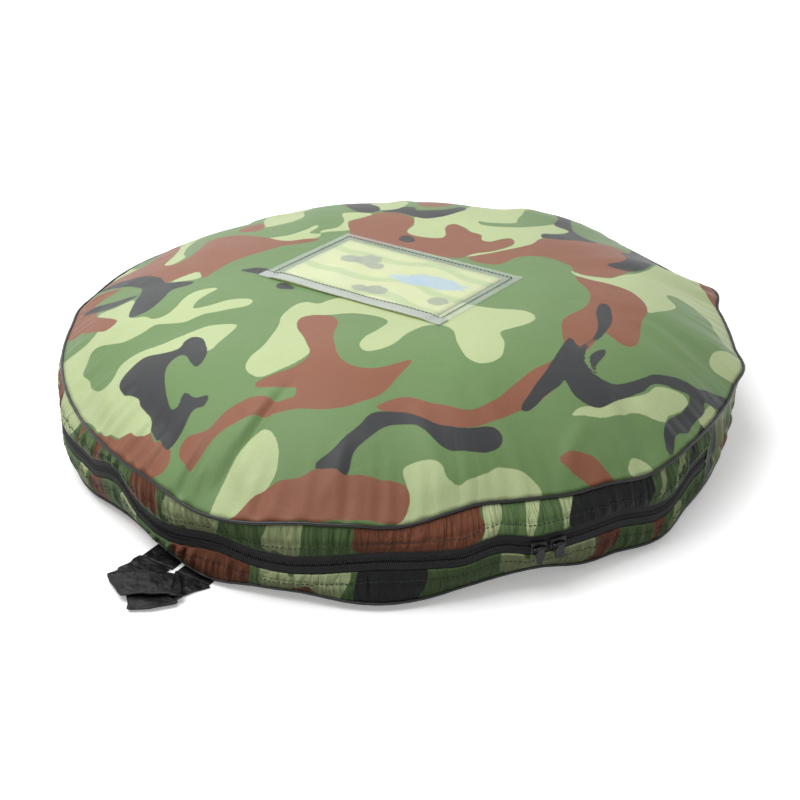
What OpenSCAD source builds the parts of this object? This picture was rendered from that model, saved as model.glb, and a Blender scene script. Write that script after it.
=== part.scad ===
// Pop-up ground blind, folded inside its round zipped carry bag
// The bag lies flat: origin at the middle of its resting face, +Z up, front towards -Y

/* [Bag] */
// Radius of the closed zip line
zip_r = 298; // [270:1:320]
// Height of the zip line above the ground
zip_z = 44; // [41:0.5:46]
// Height of the lower piping's centre line
bottom_rim_z = 9; // [8:0.5:11]
// Height of the upper piping's centre line
top_rim_z = 74; // [72:1:82]
// Rise of the crowned top above the upper piping
dome_h = 61; // [58:1:72]
// Radius of the flat crown under the clear pocket
crown_r = 114; // [112:1:122]
// Backward lean of the crown in degrees
crown_tilt = 4.5; // [0:0.5:5]
// Thickness of the coated cloth with its lining
cloth_t = 1.2; // [0.8:0.1:1.5]
// Radius of the piping cord
piping_r = 1.7; // [1.4:0.1:2.6]
// Reach of the slackest corner of the piped edges outside their mean radius
slack = 20; // [10:1:22]

/* [Zip] */
// Half of the hinge panel's arc, where the gusset has no zip, in degrees
hinge_half = 30; // [20:5:40]
// Width of one zip tape
tape_w = 11; // [9:0.5:13]
// Thickness of the zip tape
tape_t = 1; // [0.6:0.1:1.2]
// Radius of one half of the zip coil
coil_r = 1.5; // [1.2:0.1:1.7]
// Distance from the zip line to each gusset's hem
hem_gap = 9.5; // [8.5:0.5:12]
// Angle of the point where the two sliders meet
slider_meet = 293; // [285:1:300]

/* [Sliders] */
// Length of a slider along the zip
slider_l = 14.5; // [12:0.5:15.5]
// Height of a slider across the zip
slider_w = 11; // [10:0.5:14]
// Thickness of a slider plate
plate_t = 1.4; // [1:0.1:1.6]
// Radius of the bail bar that carries the pull
bail_r = 1; // [0.8:0.1:1.2]
// Length of a pull below its bail
pull_l = 16; // [12:0.5:18]
// Width of a pull at its shoulders
pull_w = 11; // [9:0.5:13]
// Width of a pull at its tip
pull_tip_w = 5; // [4:0.5:8]
// Thickness of a pull
pull_t = 1.6; // [1.2:0.1:2]

/* [Pocket] */
// Length of the pocket along its mouth
pocket_l = 184; // [170:1:190]
// Depth of the pocket behind its mouth
pocket_d = 126; // [118:1:130]
// Turn of the pocket on the crown in degrees
pocket_turn = -35.5; // [-60:0.5:0]
// Width of the pocket's sewn border
border_w = 8; // [6:0.5:11]
// Thickness of the clear sheet
window_t = 0.5; // [0.3:0.1:0.8]
// Width of the strip along the mouth
mouth_w = 12; // [9:0.5:14]
// Thickness of the card
card_t = 0.5; // [0.3:0.1:0.6]

/* [Folded blind] */
// Distance from the zip line in to the middle of the folded hoops
hoop_inset = 29; // [28:1:43]
// Radius of the steel hoop wire
wire_r = 2; // [1.5:0.1:2.2]
// Wall of the cloth sleeve round the wire
sleeve_wall = 0.9; // [0.7:0.1:1]
// Distance of each turn from the middle of its bundle
twist_r = 5; // [4.6:0.1:5.2]
// Height from one hoop bundle to the next
bundle_pitch = 16.6; // [16:0.1:17]
// Thickness of one folded wall
wall_t = 18.5; // [16:0.5:18.5]

/* [Stakes] */
// Number of stakes in the pouch
stake_n = 4; // [2:1:4]
// Length of a stake's straight shaft
stake_l = 170; // [120:5:172]
// Radius of a stake
stake_r = 2.25; // [1.5:0.25:2.5]
// Radius of a stake's hook, to the middle of the bar
hook_r = 6; // [5:0.5:6.5]

/* [Strap] */
// Width of the webbing
strap_w = 32; // [25:1:34]
// Thickness of the webbing as it lies
strap_t = 2.6; // [2:0.1:2.8]
// Angle of the middle of the strap round the bag
strap_angle = 235.5; // [230:0.5:240]

/* [Hidden] */
$fn = 96;

// Clearances between sewn, stacked and sliding pieces
seam_gap = 0.2;
layer_gap = 0.2;
seat_gap = 0.3;
hinge_gap = 0.3;
bar_gap = 0.1;
coil_gap = 0.8;
cut_past = 1;

// Piped edges: corners of the slack cloth as [angle, share of the slack]
rim_inset = 1;
rim_r = zip_r - rim_inset;
edge_steps = 72;
edge_step = 360 / edge_steps;
top_corners = [[16, 0.75], [53, 0.6], [90, 0], [113, -0.35], [150, 0.05], [171, 0.05], [192, 0.05],
               [217, 0.1], [244, 1], [270, 0], [312, 0.25], [332, 0.25], [350, 0.5]];
bottom_corners = [[16, 0.4], [53, 0.35], [90, 0.15], [113, -0.1], [150, 0], [175, 0], [200, 0.1],
                  [242, 0.75], [267, 0.45], [314, 0.3], [340, 0]];
top_share = 0.75;
bottom_share = 0.5;
smoothing = [-8, -4, 0, 4, 8];

function mean(list) = list * [for (v = list) 1] / len(list);
function wrapped(corners) = let (last = len(corners) - 1)
    concat([[corners[last][0] - 360, corners[last][1]]], corners,
           [[corners[0][0] + 360, corners[0][1]]]);
// Radius of the straight run between two corners at angle a
function run_r(a, p, q) = let (rp = rim_r + slack * p[1], rq = rim_r + slack * q[1])
    rp * rq * sin(q[0] - p[0]) / (rp * sin(a - p[0]) + rq * sin(q[0] - a));
function cornered_r(a, corners) = let (c = wrapped(corners), b = (a % 360 + 360) % 360,
    i = [for (k = [0:len(c) - 2]) if (b >= c[k][0] && b < c[k + 1][0]) k][0])
    run_r(b, c[i], c[i + 1]);
function edge_r(a, corners, share) =
    rim_r + share * (mean([for (d = smoothing) cornered_r(a + d, corners)]) - rim_r);
function top_edge(a) = edge_r(a, top_corners, top_share);
function bottom_edge(a) = edge_r(a, bottom_corners, bottom_share);
edge_angles = [for (k = [0:edge_steps - 1]) k * edge_step];
narrowest_edge = min([for (a = edge_angles) top_edge(a)]);

// Crowned top
crown_power = 2.7;
crown_rings = [0, 0.25, 0.5, 0.75, 0.9, 1];
crown_z = top_rim_z + dome_h;
panel_inset = piping_r + seam_gap;
function crown_height(y, s) = (dome_h - tan(crown_tilt) * y) * (1 - pow(s, crown_power));
function dome_z(y, s) = top_rim_z + crown_height(y, s);

// Bottom panel: a flat disc whose outer ring lifts to the piping
lift_w = 36;
lift_lap = 2;
flat_r = zip_r - lift_w;
lift_r = flat_r - lift_lap;
lift_power = 1.5;
lift_steps = [0, 0.35, 0.7, 1];
lift_sink = 0.15;
function lift_point(a, r, t, low) = on_ring(a, lift_r + t * (r - lift_r),
                                            low + (bottom_rim_z - cloth_t / 2) * pow(t, lift_power));

// Gussets
hem_land = 6;
hem_in_r = (zip_r + tape_t / 2 + seam_gap) / cos(edge_step / 2);
hem_out_r = hem_in_r + cloth_t;

// Zip halves: the coil lies beside the zip line and the tape beyond the coil
coil_z = coil_gap + coil_r;
tape_clear = 0.1;
tape_in = coil_gap + 2 * coil_r + tape_clear;
tape_end_angle = 0.2;
coil_end_angle = 1.2;
stop_angle = coil_end_angle - 1.5 * tape_end_angle;

// Sliders
plate_clear = 0.7;
plate_gap = coil_r + plate_clear;
plate_out = plate_gap + plate_t;
slot_clear = 0.5;
flange_slot = tape_t / 2 + slot_clear;
flange_w = 0.9;
post_w = 1;
post_l = 4;
knuckle_wall = 1;
knuckle_r = bail_r + knuckle_wall;
bail_clear = 0.6;
bail_x = plate_out + knuckle_r + bail_clear;
knuckle_l = 6;
foot_w = 1;
foot_gap = 0.6;
slider_gap = 1.9;
slider_turn = (slider_l + slider_gap) / 2 / zip_r * 180 / PI;
left_angle = slider_meet - slider_turn;
right_angle = slider_meet + slider_turn;
neck_clear = 0.8;
neck_l = knuckle_r + neck_clear;

// Pocket and card, in the crown's own plane
pocket_x = -4;
pocket_y = 3;
pocket_z = top_rim_z + crown_height(pocket_y, 0);
card_gap = 0.5;
card_low = seat_gap;
window_low = layer_gap;
window_under = card_low + card_t + card_gap;
window_top = window_under + window_t;
card_l = pocket_l - 2 * border_w - 2 * card_gap;
card_d = pocket_d - border_w - 2 * card_gap;

// Folded hoops: three turns that wind once round their own bundle and close
turns = 3;
loop_rings = 18;
tube_sides = 6;
sleeve_in_r = wire_r + seat_gap;
sleeve_out_r = sleeve_in_r + sleeve_wall;
sleeve_slit = 6;
hoop_r = zip_r - hoop_inset;
bundle_r = twist_r + sleeve_out_r;
bundle_clear = 3.6;
bundle_low = cloth_t + bundle_clear;
bundle_z = [for (k = [0:3]) bundle_low + bundle_r + k * bundle_pitch];
hoop_step = 360 / loop_rings;
hoop_angles = [for (k = [0:turns * loop_rings - 1]) k * hoop_step];
function hoop_point(a, z0) = let (r = hoop_r + twist_r * cos(a / turns))
    [r * cos(a), r * sin(a), z0 + twist_r * sin(a / turns)];

// Least gap between neighbouring turns, measured on the ring centres
turn_gap = min([for (a = hoop_angles, k = [1:turns - 1])
    norm(hoop_point(a, 0) - hoop_point(a + 360 * k, 0))]) - 2 * sleeve_out_r;
echo(least_gap_between_hoop_turns = turn_gap);

// Folded walls and roof
pad_r = (hoop_r - bundle_r) * cos(hoop_step / 2) - seat_gap;
pad_low = cloth_t + layer_gap;
wall_pitch = wall_t + layer_gap;
roof_low = pad_low + 4 * wall_pitch;
roof_gap = 0.5;
roof_rings = [0.2, 0.4, 0.6, 0.8, 1];
pad_reach = (pad_r - crown_r) / (narrowest_edge - panel_inset - crown_r);

// Stake pouch
stake_gap = 0.3;
stake_pitch = 2 * (hook_r + stake_r) + stake_gap;
tip_l = 12;
stake_total = stake_l + tip_l + hook_r + stake_r;
pouch_in_l = stake_total + 2 * stake_gap;
pouch_in_w = stake_n * stake_pitch + stake_gap;
pouch_in_h = 2 * stake_r + 2 * stake_gap;
pouch_l = pouch_in_l + 2 * cloth_t;
pouch_w = pouch_in_w + 2 * cloth_t;
pouch_h = pouch_in_h + 2 * cloth_t;
pouch_corner = 6;
roof_top = dome_z(pouch_w / 2, 0) - cloth_t - roof_gap - pouch_h - 2 * layer_gap;

// Strap, in its own frame: out from the bag, along the bag's edge, up
strap_out = 8.5;
strap_hinge_r = zip_r + strap_out;
strap_low = 0.2;
strap_lap = 0.2;
fold_inset = 0.4;
end_t = 1.5;
end_reach = 32;
end_low = 0.1;
end_places = [-20, 17];
fold_out = [54, -27];
fold_side = [36, 24];
fold_front = [62, 2];

function on_ring(a, r, z) = [r * cos(a), r * sin(a), z];

// Triangles of a skin over rings of equal length, closed into a loop or capped at both ends
function loft_faces(rings, n, closed) = concat(
    [for (i = [0:rings - (closed ? 1 : 2)], j = [0:n - 1])
        let (a = i * n + j, b = i * n + (j + 1) % n,
             c = (i + 1) % rings * n + j, d = (i + 1) % rings * n + (j + 1) % n)
        each [[a, d, b], [a, c, d]]],
    closed ? [] : [for (j = [1:n - 2]) each
        [[0, j, j + 1], [(rings - 1) * n, (rings - 1) * n + j + 1, (rings - 1) * n + j]]]);

module loft(rings, closed) {
    polyhedron(points = [for (ring = rings) each ring],
               faces = loft_faces(len(rings), len(rings[0]), closed), convexity = 10);
}

module round_tube(angles, r, section_r) {
    loft([for (a = angles) [for (j = [0:tube_sides - 1])
        let (b = -j * 360 / tube_sides) on_ring(a, r[a / edge_step] + section_r * cos(b),
                                                section_r * sin(b))]], true);
}

module ring_part(from, to) {
    rotate([0, 0, from]) rotate_extrude(angle = to - from) children();
}

module rounded_plate(l, w, h, corner) {
    linear_extrude(h) {
        square([l - 2 * corner, w], center = true);
        square([l, w - 2 * corner], center = true);
        for (x = [-1, 1], y = [-1, 1])
            translate([x * (l / 2 - corner), y * (w / 2 - corner)]) circle(corner);
    }
}

// Gusset strip from a hem beside the zip to a piped edge
module gusset_strip(angles, side, hem_z, edge) {
    land_z = hem_z + side * hem_land;
    edge_z = (side > 0 ? top_rim_z : bottom_rim_z) - side * panel_inset;
    section = function (a) let (r = edge == "top" ? top_edge(a) : bottom_edge(a))
        [on_ring(a, hem_out_r, hem_z), on_ring(a, hem_out_r, land_z), on_ring(a, r, edge_z),
         on_ring(a, r - cloth_t, edge_z), on_ring(a, hem_in_r, land_z), on_ring(a, hem_in_r, hem_z)];
    rings = [for (a = angles) section(a)];
    loft(side > 0 ? [for (i = [len(rings) - 1:-1:0]) rings[i]] : rings, false);
}

function arc_angles(from, to) = let (n = ceil((to - from) / edge_step))
    [for (k = [0:n]) from + k * (to - from) / n];
zip_angles = arc_angles(hinge_half, 360 - hinge_half);
hinge_angles = arc_angles(-hinge_half, hinge_half);
function pulled_in(angles) = let (last = len(angles) - 1)
    [for (i = [0:last]) angles[i] + (i == 0 ? tape_end_angle : i == last ? -tape_end_angle : 0)];

module zip_tape(side) {
    color("#1b1c1e") ring_part(hinge_half + tape_end_angle, 360 - hinge_half - tape_end_angle)
        translate([zip_r - tape_t / 2, zip_z + (side > 0 ? tape_in : -tape_in - tape_w)])
            square([tape_t, tape_w]);
}

module zip_coil(side) {
    color("#101113") ring_part(hinge_half + coil_end_angle, 360 - hinge_half - coil_end_angle)
        translate([zip_r, zip_z + side * coil_z]) circle(coil_r);
}

module piping(z, angles, r) {
    color("#0d0e10") translate([0, 0, z]) round_tube(angles, r, piping_r);
}

module bottom_panel() {
    color("#4d6b3a") {
        cylinder(r = flat_r, h = cloth_t);
        loft([for (a = edge_angles) let (r = bottom_edge(a) - panel_inset)
            concat([for (t = lift_steps) lift_point(a, r, t, cloth_t - lift_sink)],
                   [for (i = [len(lift_steps) - 1:-1:0]) lift_point(a, r, lift_steps[i], lift_sink)])],
             true);
    }
}

module bottom_piping() { piping(bottom_rim_z, edge_angles, [for (a = edge_angles) bottom_edge(a)]); }
module top_piping() { piping(top_rim_z, edge_angles, [for (a = edge_angles) top_edge(a)]); }
module lower_gusset() { color("#4d6b3a") gusset_strip(zip_angles, -1, zip_z - hem_gap, "bottom"); }
module upper_gusset() { color("#4d6b3a") gusset_strip(zip_angles, 1, zip_z + hem_gap, "top"); }
module hinge_panel_lower() {
    color("#55733f") gusset_strip(pulled_in(hinge_angles), -1, zip_z - hinge_gap, "bottom");
}
module hinge_panel_upper() {
    color("#55733f") gusset_strip(pulled_in(hinge_angles), 1, zip_z + hinge_gap, "top");
}
module lower_zip_tape() { zip_tape(-1); }
module upper_zip_tape() { zip_tape(1); }
module lower_zip_coil() { zip_coil(-1); }
module upper_zip_coil() { zip_coil(1); }

module zip_stops() {
    last = 360 - hinge_half - coil_end_angle + tape_end_angle / 2;
    color("#2a2b2d") for (a = [hinge_half + tape_end_angle, last])
        ring_part(a, a + stop_angle)
            translate([zip_r - coil_r, zip_z - coil_z - coil_r]) square([2 * coil_r, 2 * coil_r]);
}

module strap_place() {
    rotate([0, 0, strap_angle]) translate([strap_hinge_r, 0, 0]) children();
}

module strap_ends() {
    color("#17181a") strap_place() for (y = end_places)
        translate([-end_reach, y - strap_w / 2, end_low]) cube([end_reach - seat_gap, strap_w, end_t]);
}

// Flat run of webbing between two places, its first end square to the run or parallel to the bag's edge
module webbing_run(from, to, low, along_edge = false) {
    way = (to - from) / norm(to - from);
    across = [-way[1], way[0]] * strap_w / 2;
    first = along_edge ? [0, strap_w / 2 / way[0]] : across;
    translate([0, 0, low]) linear_extrude(strap_t)
        polygon([from + first, from - first, to - across, to + across]);
}

// Round bend that joins a run to the one above it, a little inside their faces
module webbing_fold(at, toward, low, high) {
    run = toward - at;
    translate([at[0], at[1], (low + high) / 2]) rotate([0, 0, atan2(run[1], run[0])]) rotate([90, 0, 0])
        cylinder(r = (high - low) / 2 - fold_inset, h = strap_w - 2 * fold_inset, center = true);
}

module carry_strap() {
    lift = strap_t - strap_lap;
    top = strap_low + 2 * lift;
    color("#17181a") strap_place() {
        webbing_run([seat_gap, end_places[0]], fold_out, strap_low, along_edge = true);
        webbing_run([seat_gap, end_places[1]], fold_front, strap_low, along_edge = true);
        webbing_run(fold_front, fold_side, strap_low + lift);
        webbing_run(fold_out, fold_side, top);
        webbing_fold(fold_out, [0, end_places[0]], strap_low, top + strap_t);
        translate([fold_side[0], fold_side[1], strap_low + lift + fold_inset])
            cylinder(d = strap_w - 2 * fold_inset, h = lift + strap_t - 2 * fold_inset);
    }
}

module hoop_wire(k) {
    color("#8d9196") loft([for (a = hoop_angles) let (p = hoop_point(a, bundle_z[k]))
        [for (j = [0:tube_sides - 1]) let (b = -j * 360 / tube_sides)
            p + wire_r * [cos(b) * cos(a), cos(b) * sin(a), sin(b)]]], true);
}

// Cloth sleeve folded round the wire, with the slit of its seam towards the middle of the bag
module hoop_sleeve(k) {
    turn = [for (j = [0:tube_sides]) 180 - sleeve_slit / 2 - j * (360 - sleeve_slit) / tube_sides];
    color("#22261f") loft([for (a = hoop_angles) let (p = hoop_point(a, bundle_z[k]))
        concat([for (b = turn) p + sleeve_out_r * [cos(b) * cos(a), cos(b) * sin(a), sin(b)]],
               [for (i = [tube_sides:-1:0]) let (b = turn[i])
                   p + sleeve_in_r / cos(180 / tube_sides) * [cos(b) * cos(a), cos(b) * sin(a), sin(b)]])],
        true);
}

// Folded wall with a rounded edge
module wall(k) {
    color(k % 2 == 0 ? "#4f6b3c" : "#5a4632") translate([0, 0, pad_low + k * wall_pitch + wall_t / 2])
        rotate_extrude() {
            translate([0, -wall_t / 2]) square([pad_r - wall_t / 2, wall_t]);
            intersection() {
                translate([pad_r - wall_t / 2, 0]) circle(wall_t / 2);
                translate([0, -wall_t / 2]) square([pad_r + cut_past, wall_t]);
            }
        }
}

module roof() {
    slope = [for (t = roof_rings) let (s = t * pad_reach,
             r = crown_r + s * (narrowest_edge - panel_inset - crown_r))
        [r, min(roof_top, dome_z(r, s) - cloth_t - roof_gap)]];
    color("#6d8350") rotate_extrude() polygon(concat(
        [[0, roof_low], [pad_r, roof_low]],
        [for (i = [len(slope) - 1:-1:0]) slope[i]], [[crown_r, roof_top], [0, roof_top]]));
}

module stake_pouch() {
    color("#2b3325") translate([0, 0, roof_top + layer_gap]) difference() {
        rounded_plate(pouch_l, pouch_w, pouch_h, pouch_corner);
        translate([0, 0, cloth_t]) rounded_plate(pouch_in_l, pouch_in_w, pouch_in_h, stake_r);
    }
}

// Steel stake with a point at one end and a hook at the other
module stake() {
    rotate([0, 90, 0]) {
        cylinder(r = stake_r, h = stake_l);
        translate([0, 0, stake_l]) cylinder(r1 = stake_r, r2 = stake_r / 4, h = tip_l);
    }
    translate([0, -hook_r, 0]) rotate([0, 0, 90]) rotate_extrude(angle = 180)
        translate([hook_r, 0]) circle(stake_r);
}

module stakes() {
    low = roof_top + layer_gap + cloth_t + stake_gap + stake_r;
    first = -(stake_n - 1) / 2 * stake_pitch + hook_r;
    color("#9a9ea3") for (k = [0:stake_n - 1])
        translate([-stake_total / 2 + hook_r + stake_r, first + k * stake_pitch, low]) stake();
}

module top_panel() {
    n = edge_steps;
    m = len(crown_rings);
    skin = [for (s = crown_rings, a = edge_angles)
        let (r = crown_r + s * (top_edge(a) - panel_inset - crown_r))
        on_ring(a, r, dome_z(r * sin(a), s))];
    under = [for (p = skin) p - [0, 0, cloth_t]];
    middle = [[0, 0, crown_z], [0, 0, crown_z - cloth_t]];
    base = n * m;
    outer = [for (i = [0:m - 2], k = [0:n - 1])
        let (a = i * n + k, b = i * n + (k + 1) % n, c = a + n, d = b + n) each [[a, d, c], [a, b, d]]];
    inner = [for (f = outer) [for (i = [2:-1:0]) f[i] + base]];
    hub = [for (k = [0:n - 1]) let (next = (k + 1) % n)
        each [[2 * base, next, k], [2 * base + 1, base + k, base + next]]];
    rim = [for (k = [0:n - 1]) let (a = (m - 1) * n + k, b = (m - 1) * n + (k + 1) % n)
        each [[a, b, b + base], [a, b + base, a + base]]];
    color("#7f9a5c") polyhedron(points = concat(skin, under, middle),
                                faces = concat(outer, inner, hub, rim), convexity = 10);
}

module on_pocket() {
    translate([pocket_x, pocket_y, pocket_z]) rotate([-crown_tilt, 0, 0]) rotate([0, 0, pocket_turn])
        children();
}

// Clear sheet sewn down on three sides and open along its mouth
module pocket_window() {
    color([0.8, 0.85, 0.85, 0.4]) on_pocket() difference() {
        translate([-pocket_l / 2, -pocket_d / 2, window_low])
            cube([pocket_l, pocket_d, window_top - window_low]);
        translate([-pocket_l / 2 + border_w, -pocket_d / 2 - cut_past, window_low - cut_past])
            cube([pocket_l - 2 * border_w, pocket_d - border_w + cut_past,
                  window_under - window_low + cut_past]);
    }
}

module pocket_mouth_strip() {
    color([0.55, 0.58, 0.58, 0.8]) on_pocket()
        translate([-pocket_l / 2, -pocket_d / 2, window_top + layer_gap]) cube([pocket_l, mouth_w, window_t]);
}

module card() {
    color("#cdd8a4") on_pocket()
        translate([-card_l / 2, -pocket_d / 2 + card_gap, card_low]) cube([card_l, card_d, card_t]);
}

module at_slider(angle) {
    rotate([0, 0, angle]) translate([zip_r, 0, zip_z]) children();
}

// Slider that rides the lower tape: two plates, the wedge between them, lower flanges and a bail
module slider(angle) {
    color("#141517") at_slider(angle) {
        for (x = [plate_gap, -plate_out])
            translate([x, -slider_l / 2, -slider_w / 2]) cube([plate_t, slider_l, slider_w]);
        for (x = [flange_slot, -plate_gap])
            translate([x, -slider_l / 2, -slider_w / 2]) cube([plate_gap - flange_slot, slider_l, flange_w]);
        translate([-plate_gap, -post_l / 2, -post_w / 2]) cube([2 * plate_gap, post_l, post_w]);
        for (y = [knuckle_l / 2 + foot_gap, -knuckle_l / 2 - foot_gap - foot_w])
            translate([plate_out, y, -bail_r]) cube([bail_x - plate_out + bail_r, foot_w, 2 * bail_r]);
        translate([bail_x, 0, 0]) rotate([90, 0, 0])
            cylinder(r = bail_r, h = knuckle_l + 2 * foot_gap + foot_w, center = true);
    }
}

// Pull with a knuckle round the bail bar and a tab that tapers to its tip
module pull(angle) {
    color("#141517") at_slider(angle) translate([bail_x, 0, 0]) difference() {
        union() {
            rotate([90, 0, 0]) cylinder(r = knuckle_r, h = knuckle_l, center = true);
            translate([-pull_t / 2, -knuckle_l / 2, -neck_l - pull_t])
                cube([pull_t, knuckle_l, neck_l + pull_t]);
            translate([-pull_t / 2, 0, 0]) rotate([90, 0, 90]) linear_extrude(pull_t) polygon([
                [-pull_w / 2, -neck_l - pull_t / 2], [-pull_tip_w / 2, -pull_l],
                [pull_tip_w / 2, -pull_l], [pull_w / 2, -neck_l - pull_t / 2]]);
        }
        rotate([90, 0, 0]) cylinder(r = bail_r + bar_gap, h = knuckle_l + 2 * cut_past, center = true);
    }
}

module slider_left() { slider(left_angle); }
module slider_right() { slider(right_angle); }
module pull_left() { pull(left_angle); }
module pull_right() { pull(right_angle); }

bottom_panel();
bottom_piping();
lower_gusset();
hinge_panel_lower();
lower_zip_tape();
lower_zip_coil();
zip_stops();
strap_ends();
hoop_wire(0);  // hoop_wire_1
hoop_wire(1);  // hoop_wire_2
hoop_wire(2);  // hoop_wire_3
hoop_wire(3);  // hoop_wire_4
hoop_sleeve(0);  // hoop_sleeve_1
hoop_sleeve(1);  // hoop_sleeve_2
hoop_sleeve(2);  // hoop_sleeve_3
hoop_sleeve(3);  // hoop_sleeve_4
wall(0);  // wall_1
wall(1);  // wall_2
wall(2);  // wall_3
wall(3);  // wall_4
roof();
stake_pouch();
stakes();
top_panel();
top_piping();
upper_gusset();
hinge_panel_upper();
upper_zip_tape();
upper_zip_coil();
pocket_window();
pocket_mouth_strip();
card();
slider_left();
slider_right();
pull_left();
pull_right();
carry_strap();
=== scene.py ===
"""Looks of a pop-up ground blind, folded and zipped inside its round camouflage carry bag."""

from __future__ import annotations

import logging
import math
from dataclasses import dataclass, field
from enum import Enum
from typing import Any, Callable, Sequence

import bpy
import numpy as np
from mathutils import Matrix, Vector

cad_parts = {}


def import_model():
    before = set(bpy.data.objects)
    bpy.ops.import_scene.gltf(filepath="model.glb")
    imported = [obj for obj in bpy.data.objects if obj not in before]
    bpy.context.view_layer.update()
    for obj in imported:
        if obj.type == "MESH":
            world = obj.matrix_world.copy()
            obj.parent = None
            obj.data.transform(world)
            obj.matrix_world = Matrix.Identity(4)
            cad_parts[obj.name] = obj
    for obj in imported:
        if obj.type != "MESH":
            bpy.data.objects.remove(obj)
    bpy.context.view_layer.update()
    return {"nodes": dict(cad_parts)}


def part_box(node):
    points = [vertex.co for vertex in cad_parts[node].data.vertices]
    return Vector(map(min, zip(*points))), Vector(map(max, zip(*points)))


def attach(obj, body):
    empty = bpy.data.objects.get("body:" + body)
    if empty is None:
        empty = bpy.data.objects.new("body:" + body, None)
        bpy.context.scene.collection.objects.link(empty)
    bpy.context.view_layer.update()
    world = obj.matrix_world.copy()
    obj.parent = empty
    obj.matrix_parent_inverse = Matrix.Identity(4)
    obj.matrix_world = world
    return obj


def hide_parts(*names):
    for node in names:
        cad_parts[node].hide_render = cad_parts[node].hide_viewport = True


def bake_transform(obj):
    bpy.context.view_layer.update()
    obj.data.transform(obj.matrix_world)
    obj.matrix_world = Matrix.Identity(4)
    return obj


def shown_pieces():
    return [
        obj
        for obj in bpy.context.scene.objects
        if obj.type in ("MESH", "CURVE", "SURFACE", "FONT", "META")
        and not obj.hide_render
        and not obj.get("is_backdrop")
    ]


LOG = logging.getLogger("ground_blind")
MM = 0.001
TURN = 2 * math.pi
CLOTH_UV = "cloth"

Array = np.ndarray
Points = np.ndarray
Piece = bpy.types.Object
Finish = bpy.types.Material
Surface = Callable[[Array, Array], Points]
Stroke = Sequence[tuple[float, float, float]]
Outline = Sequence[tuple[float, float]]
Colour = tuple[float, float, float]


def srgb(red: int, green: int, blue: int) -> Colour:
    """A display colour, from 0 to 255 a channel, as linear light."""
    shares = (channel / 255 for channel in (red, green, blue))
    return tuple(s / 12.92 if s <= 0.04045 else ((s + 0.055) / 1.055) ** 2.4 for s in shares)


def smooth(low: float, high: float, values: Array) -> Array:
    """Rises smoothly from 0 at low to 1 at high."""
    share = np.clip((values - low) / (high - low), 0, 1)
    return share * share * (3 - 2 * share)


def polar(theta: Array, radius: Array, height: Array) -> Points:
    """Points at an angle, a radius and a height round the bag's middle."""
    theta, radius, height = np.broadcast_arrays(theta, radius, height)
    return np.stack([radius * np.cos(theta), radius * np.sin(theta), height], axis=-1)


def through(share: Array, before: Points, start: Points, end: Points, after: Points) -> Points:
    """A smooth line from start to end that also heeds the points before and after them.

    Args:
        share: how far from start to end, from 0 to 1.
        before: the point before the start.
        start: where the line begins.
        end: where it ends.
        after: the point after the end.

    Returns:
        The line's points.
    """
    curl = 3 * (start - end) + after - before
    bend = 2 * before - 5 * start + 4 * end - after
    return start + share / 2 * (end - before + share * (bend + share * curl))


class Value:
    """A shader socket that takes part in Python expressions."""

    def __init__(self, sheet: NodeSheet, socket: bpy.types.NodeSocket) -> None:
        """Wraps a socket of a node on that sheet."""
        self.sheet = sheet
        self.socket = socket

    def math(self, operation: str, *others: Any) -> Value:
        """Adds one Math node on this value and up to two others."""
        sockets = dict(enumerate((self, *others)))
        return self.sheet.out(self.sheet.node("ShaderNodeMath", {"operation": operation}, sockets))

    def __add__(self, other: Any) -> Value:
        """Sum of two values."""
        return self.math("ADD", other)

    def __sub__(self, other: Any) -> Value:
        """Difference of two values."""
        return self.math("SUBTRACT", other)

    def __rsub__(self, other: float) -> Value:
        """A number less this value."""
        return (self * -1.0) + other

    def __mul__(self, other: Any) -> Value:
        """Product of two values."""
        return self.math("MULTIPLY", other)

    def __truediv__(self, other: Any) -> Value:
        """Quotient of two values."""
        return self.math("DIVIDE", other)

    __radd__ = __add__
    __rmul__ = __mul__

    def sine(self) -> Value:
        """Sine of the value."""
        return self.math("SINE")

    def clamped(self) -> Value:
        """The value held between 0 and 1."""
        return self.math("MAXIMUM", 0.0).math("MINIMUM", 1.0)


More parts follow.
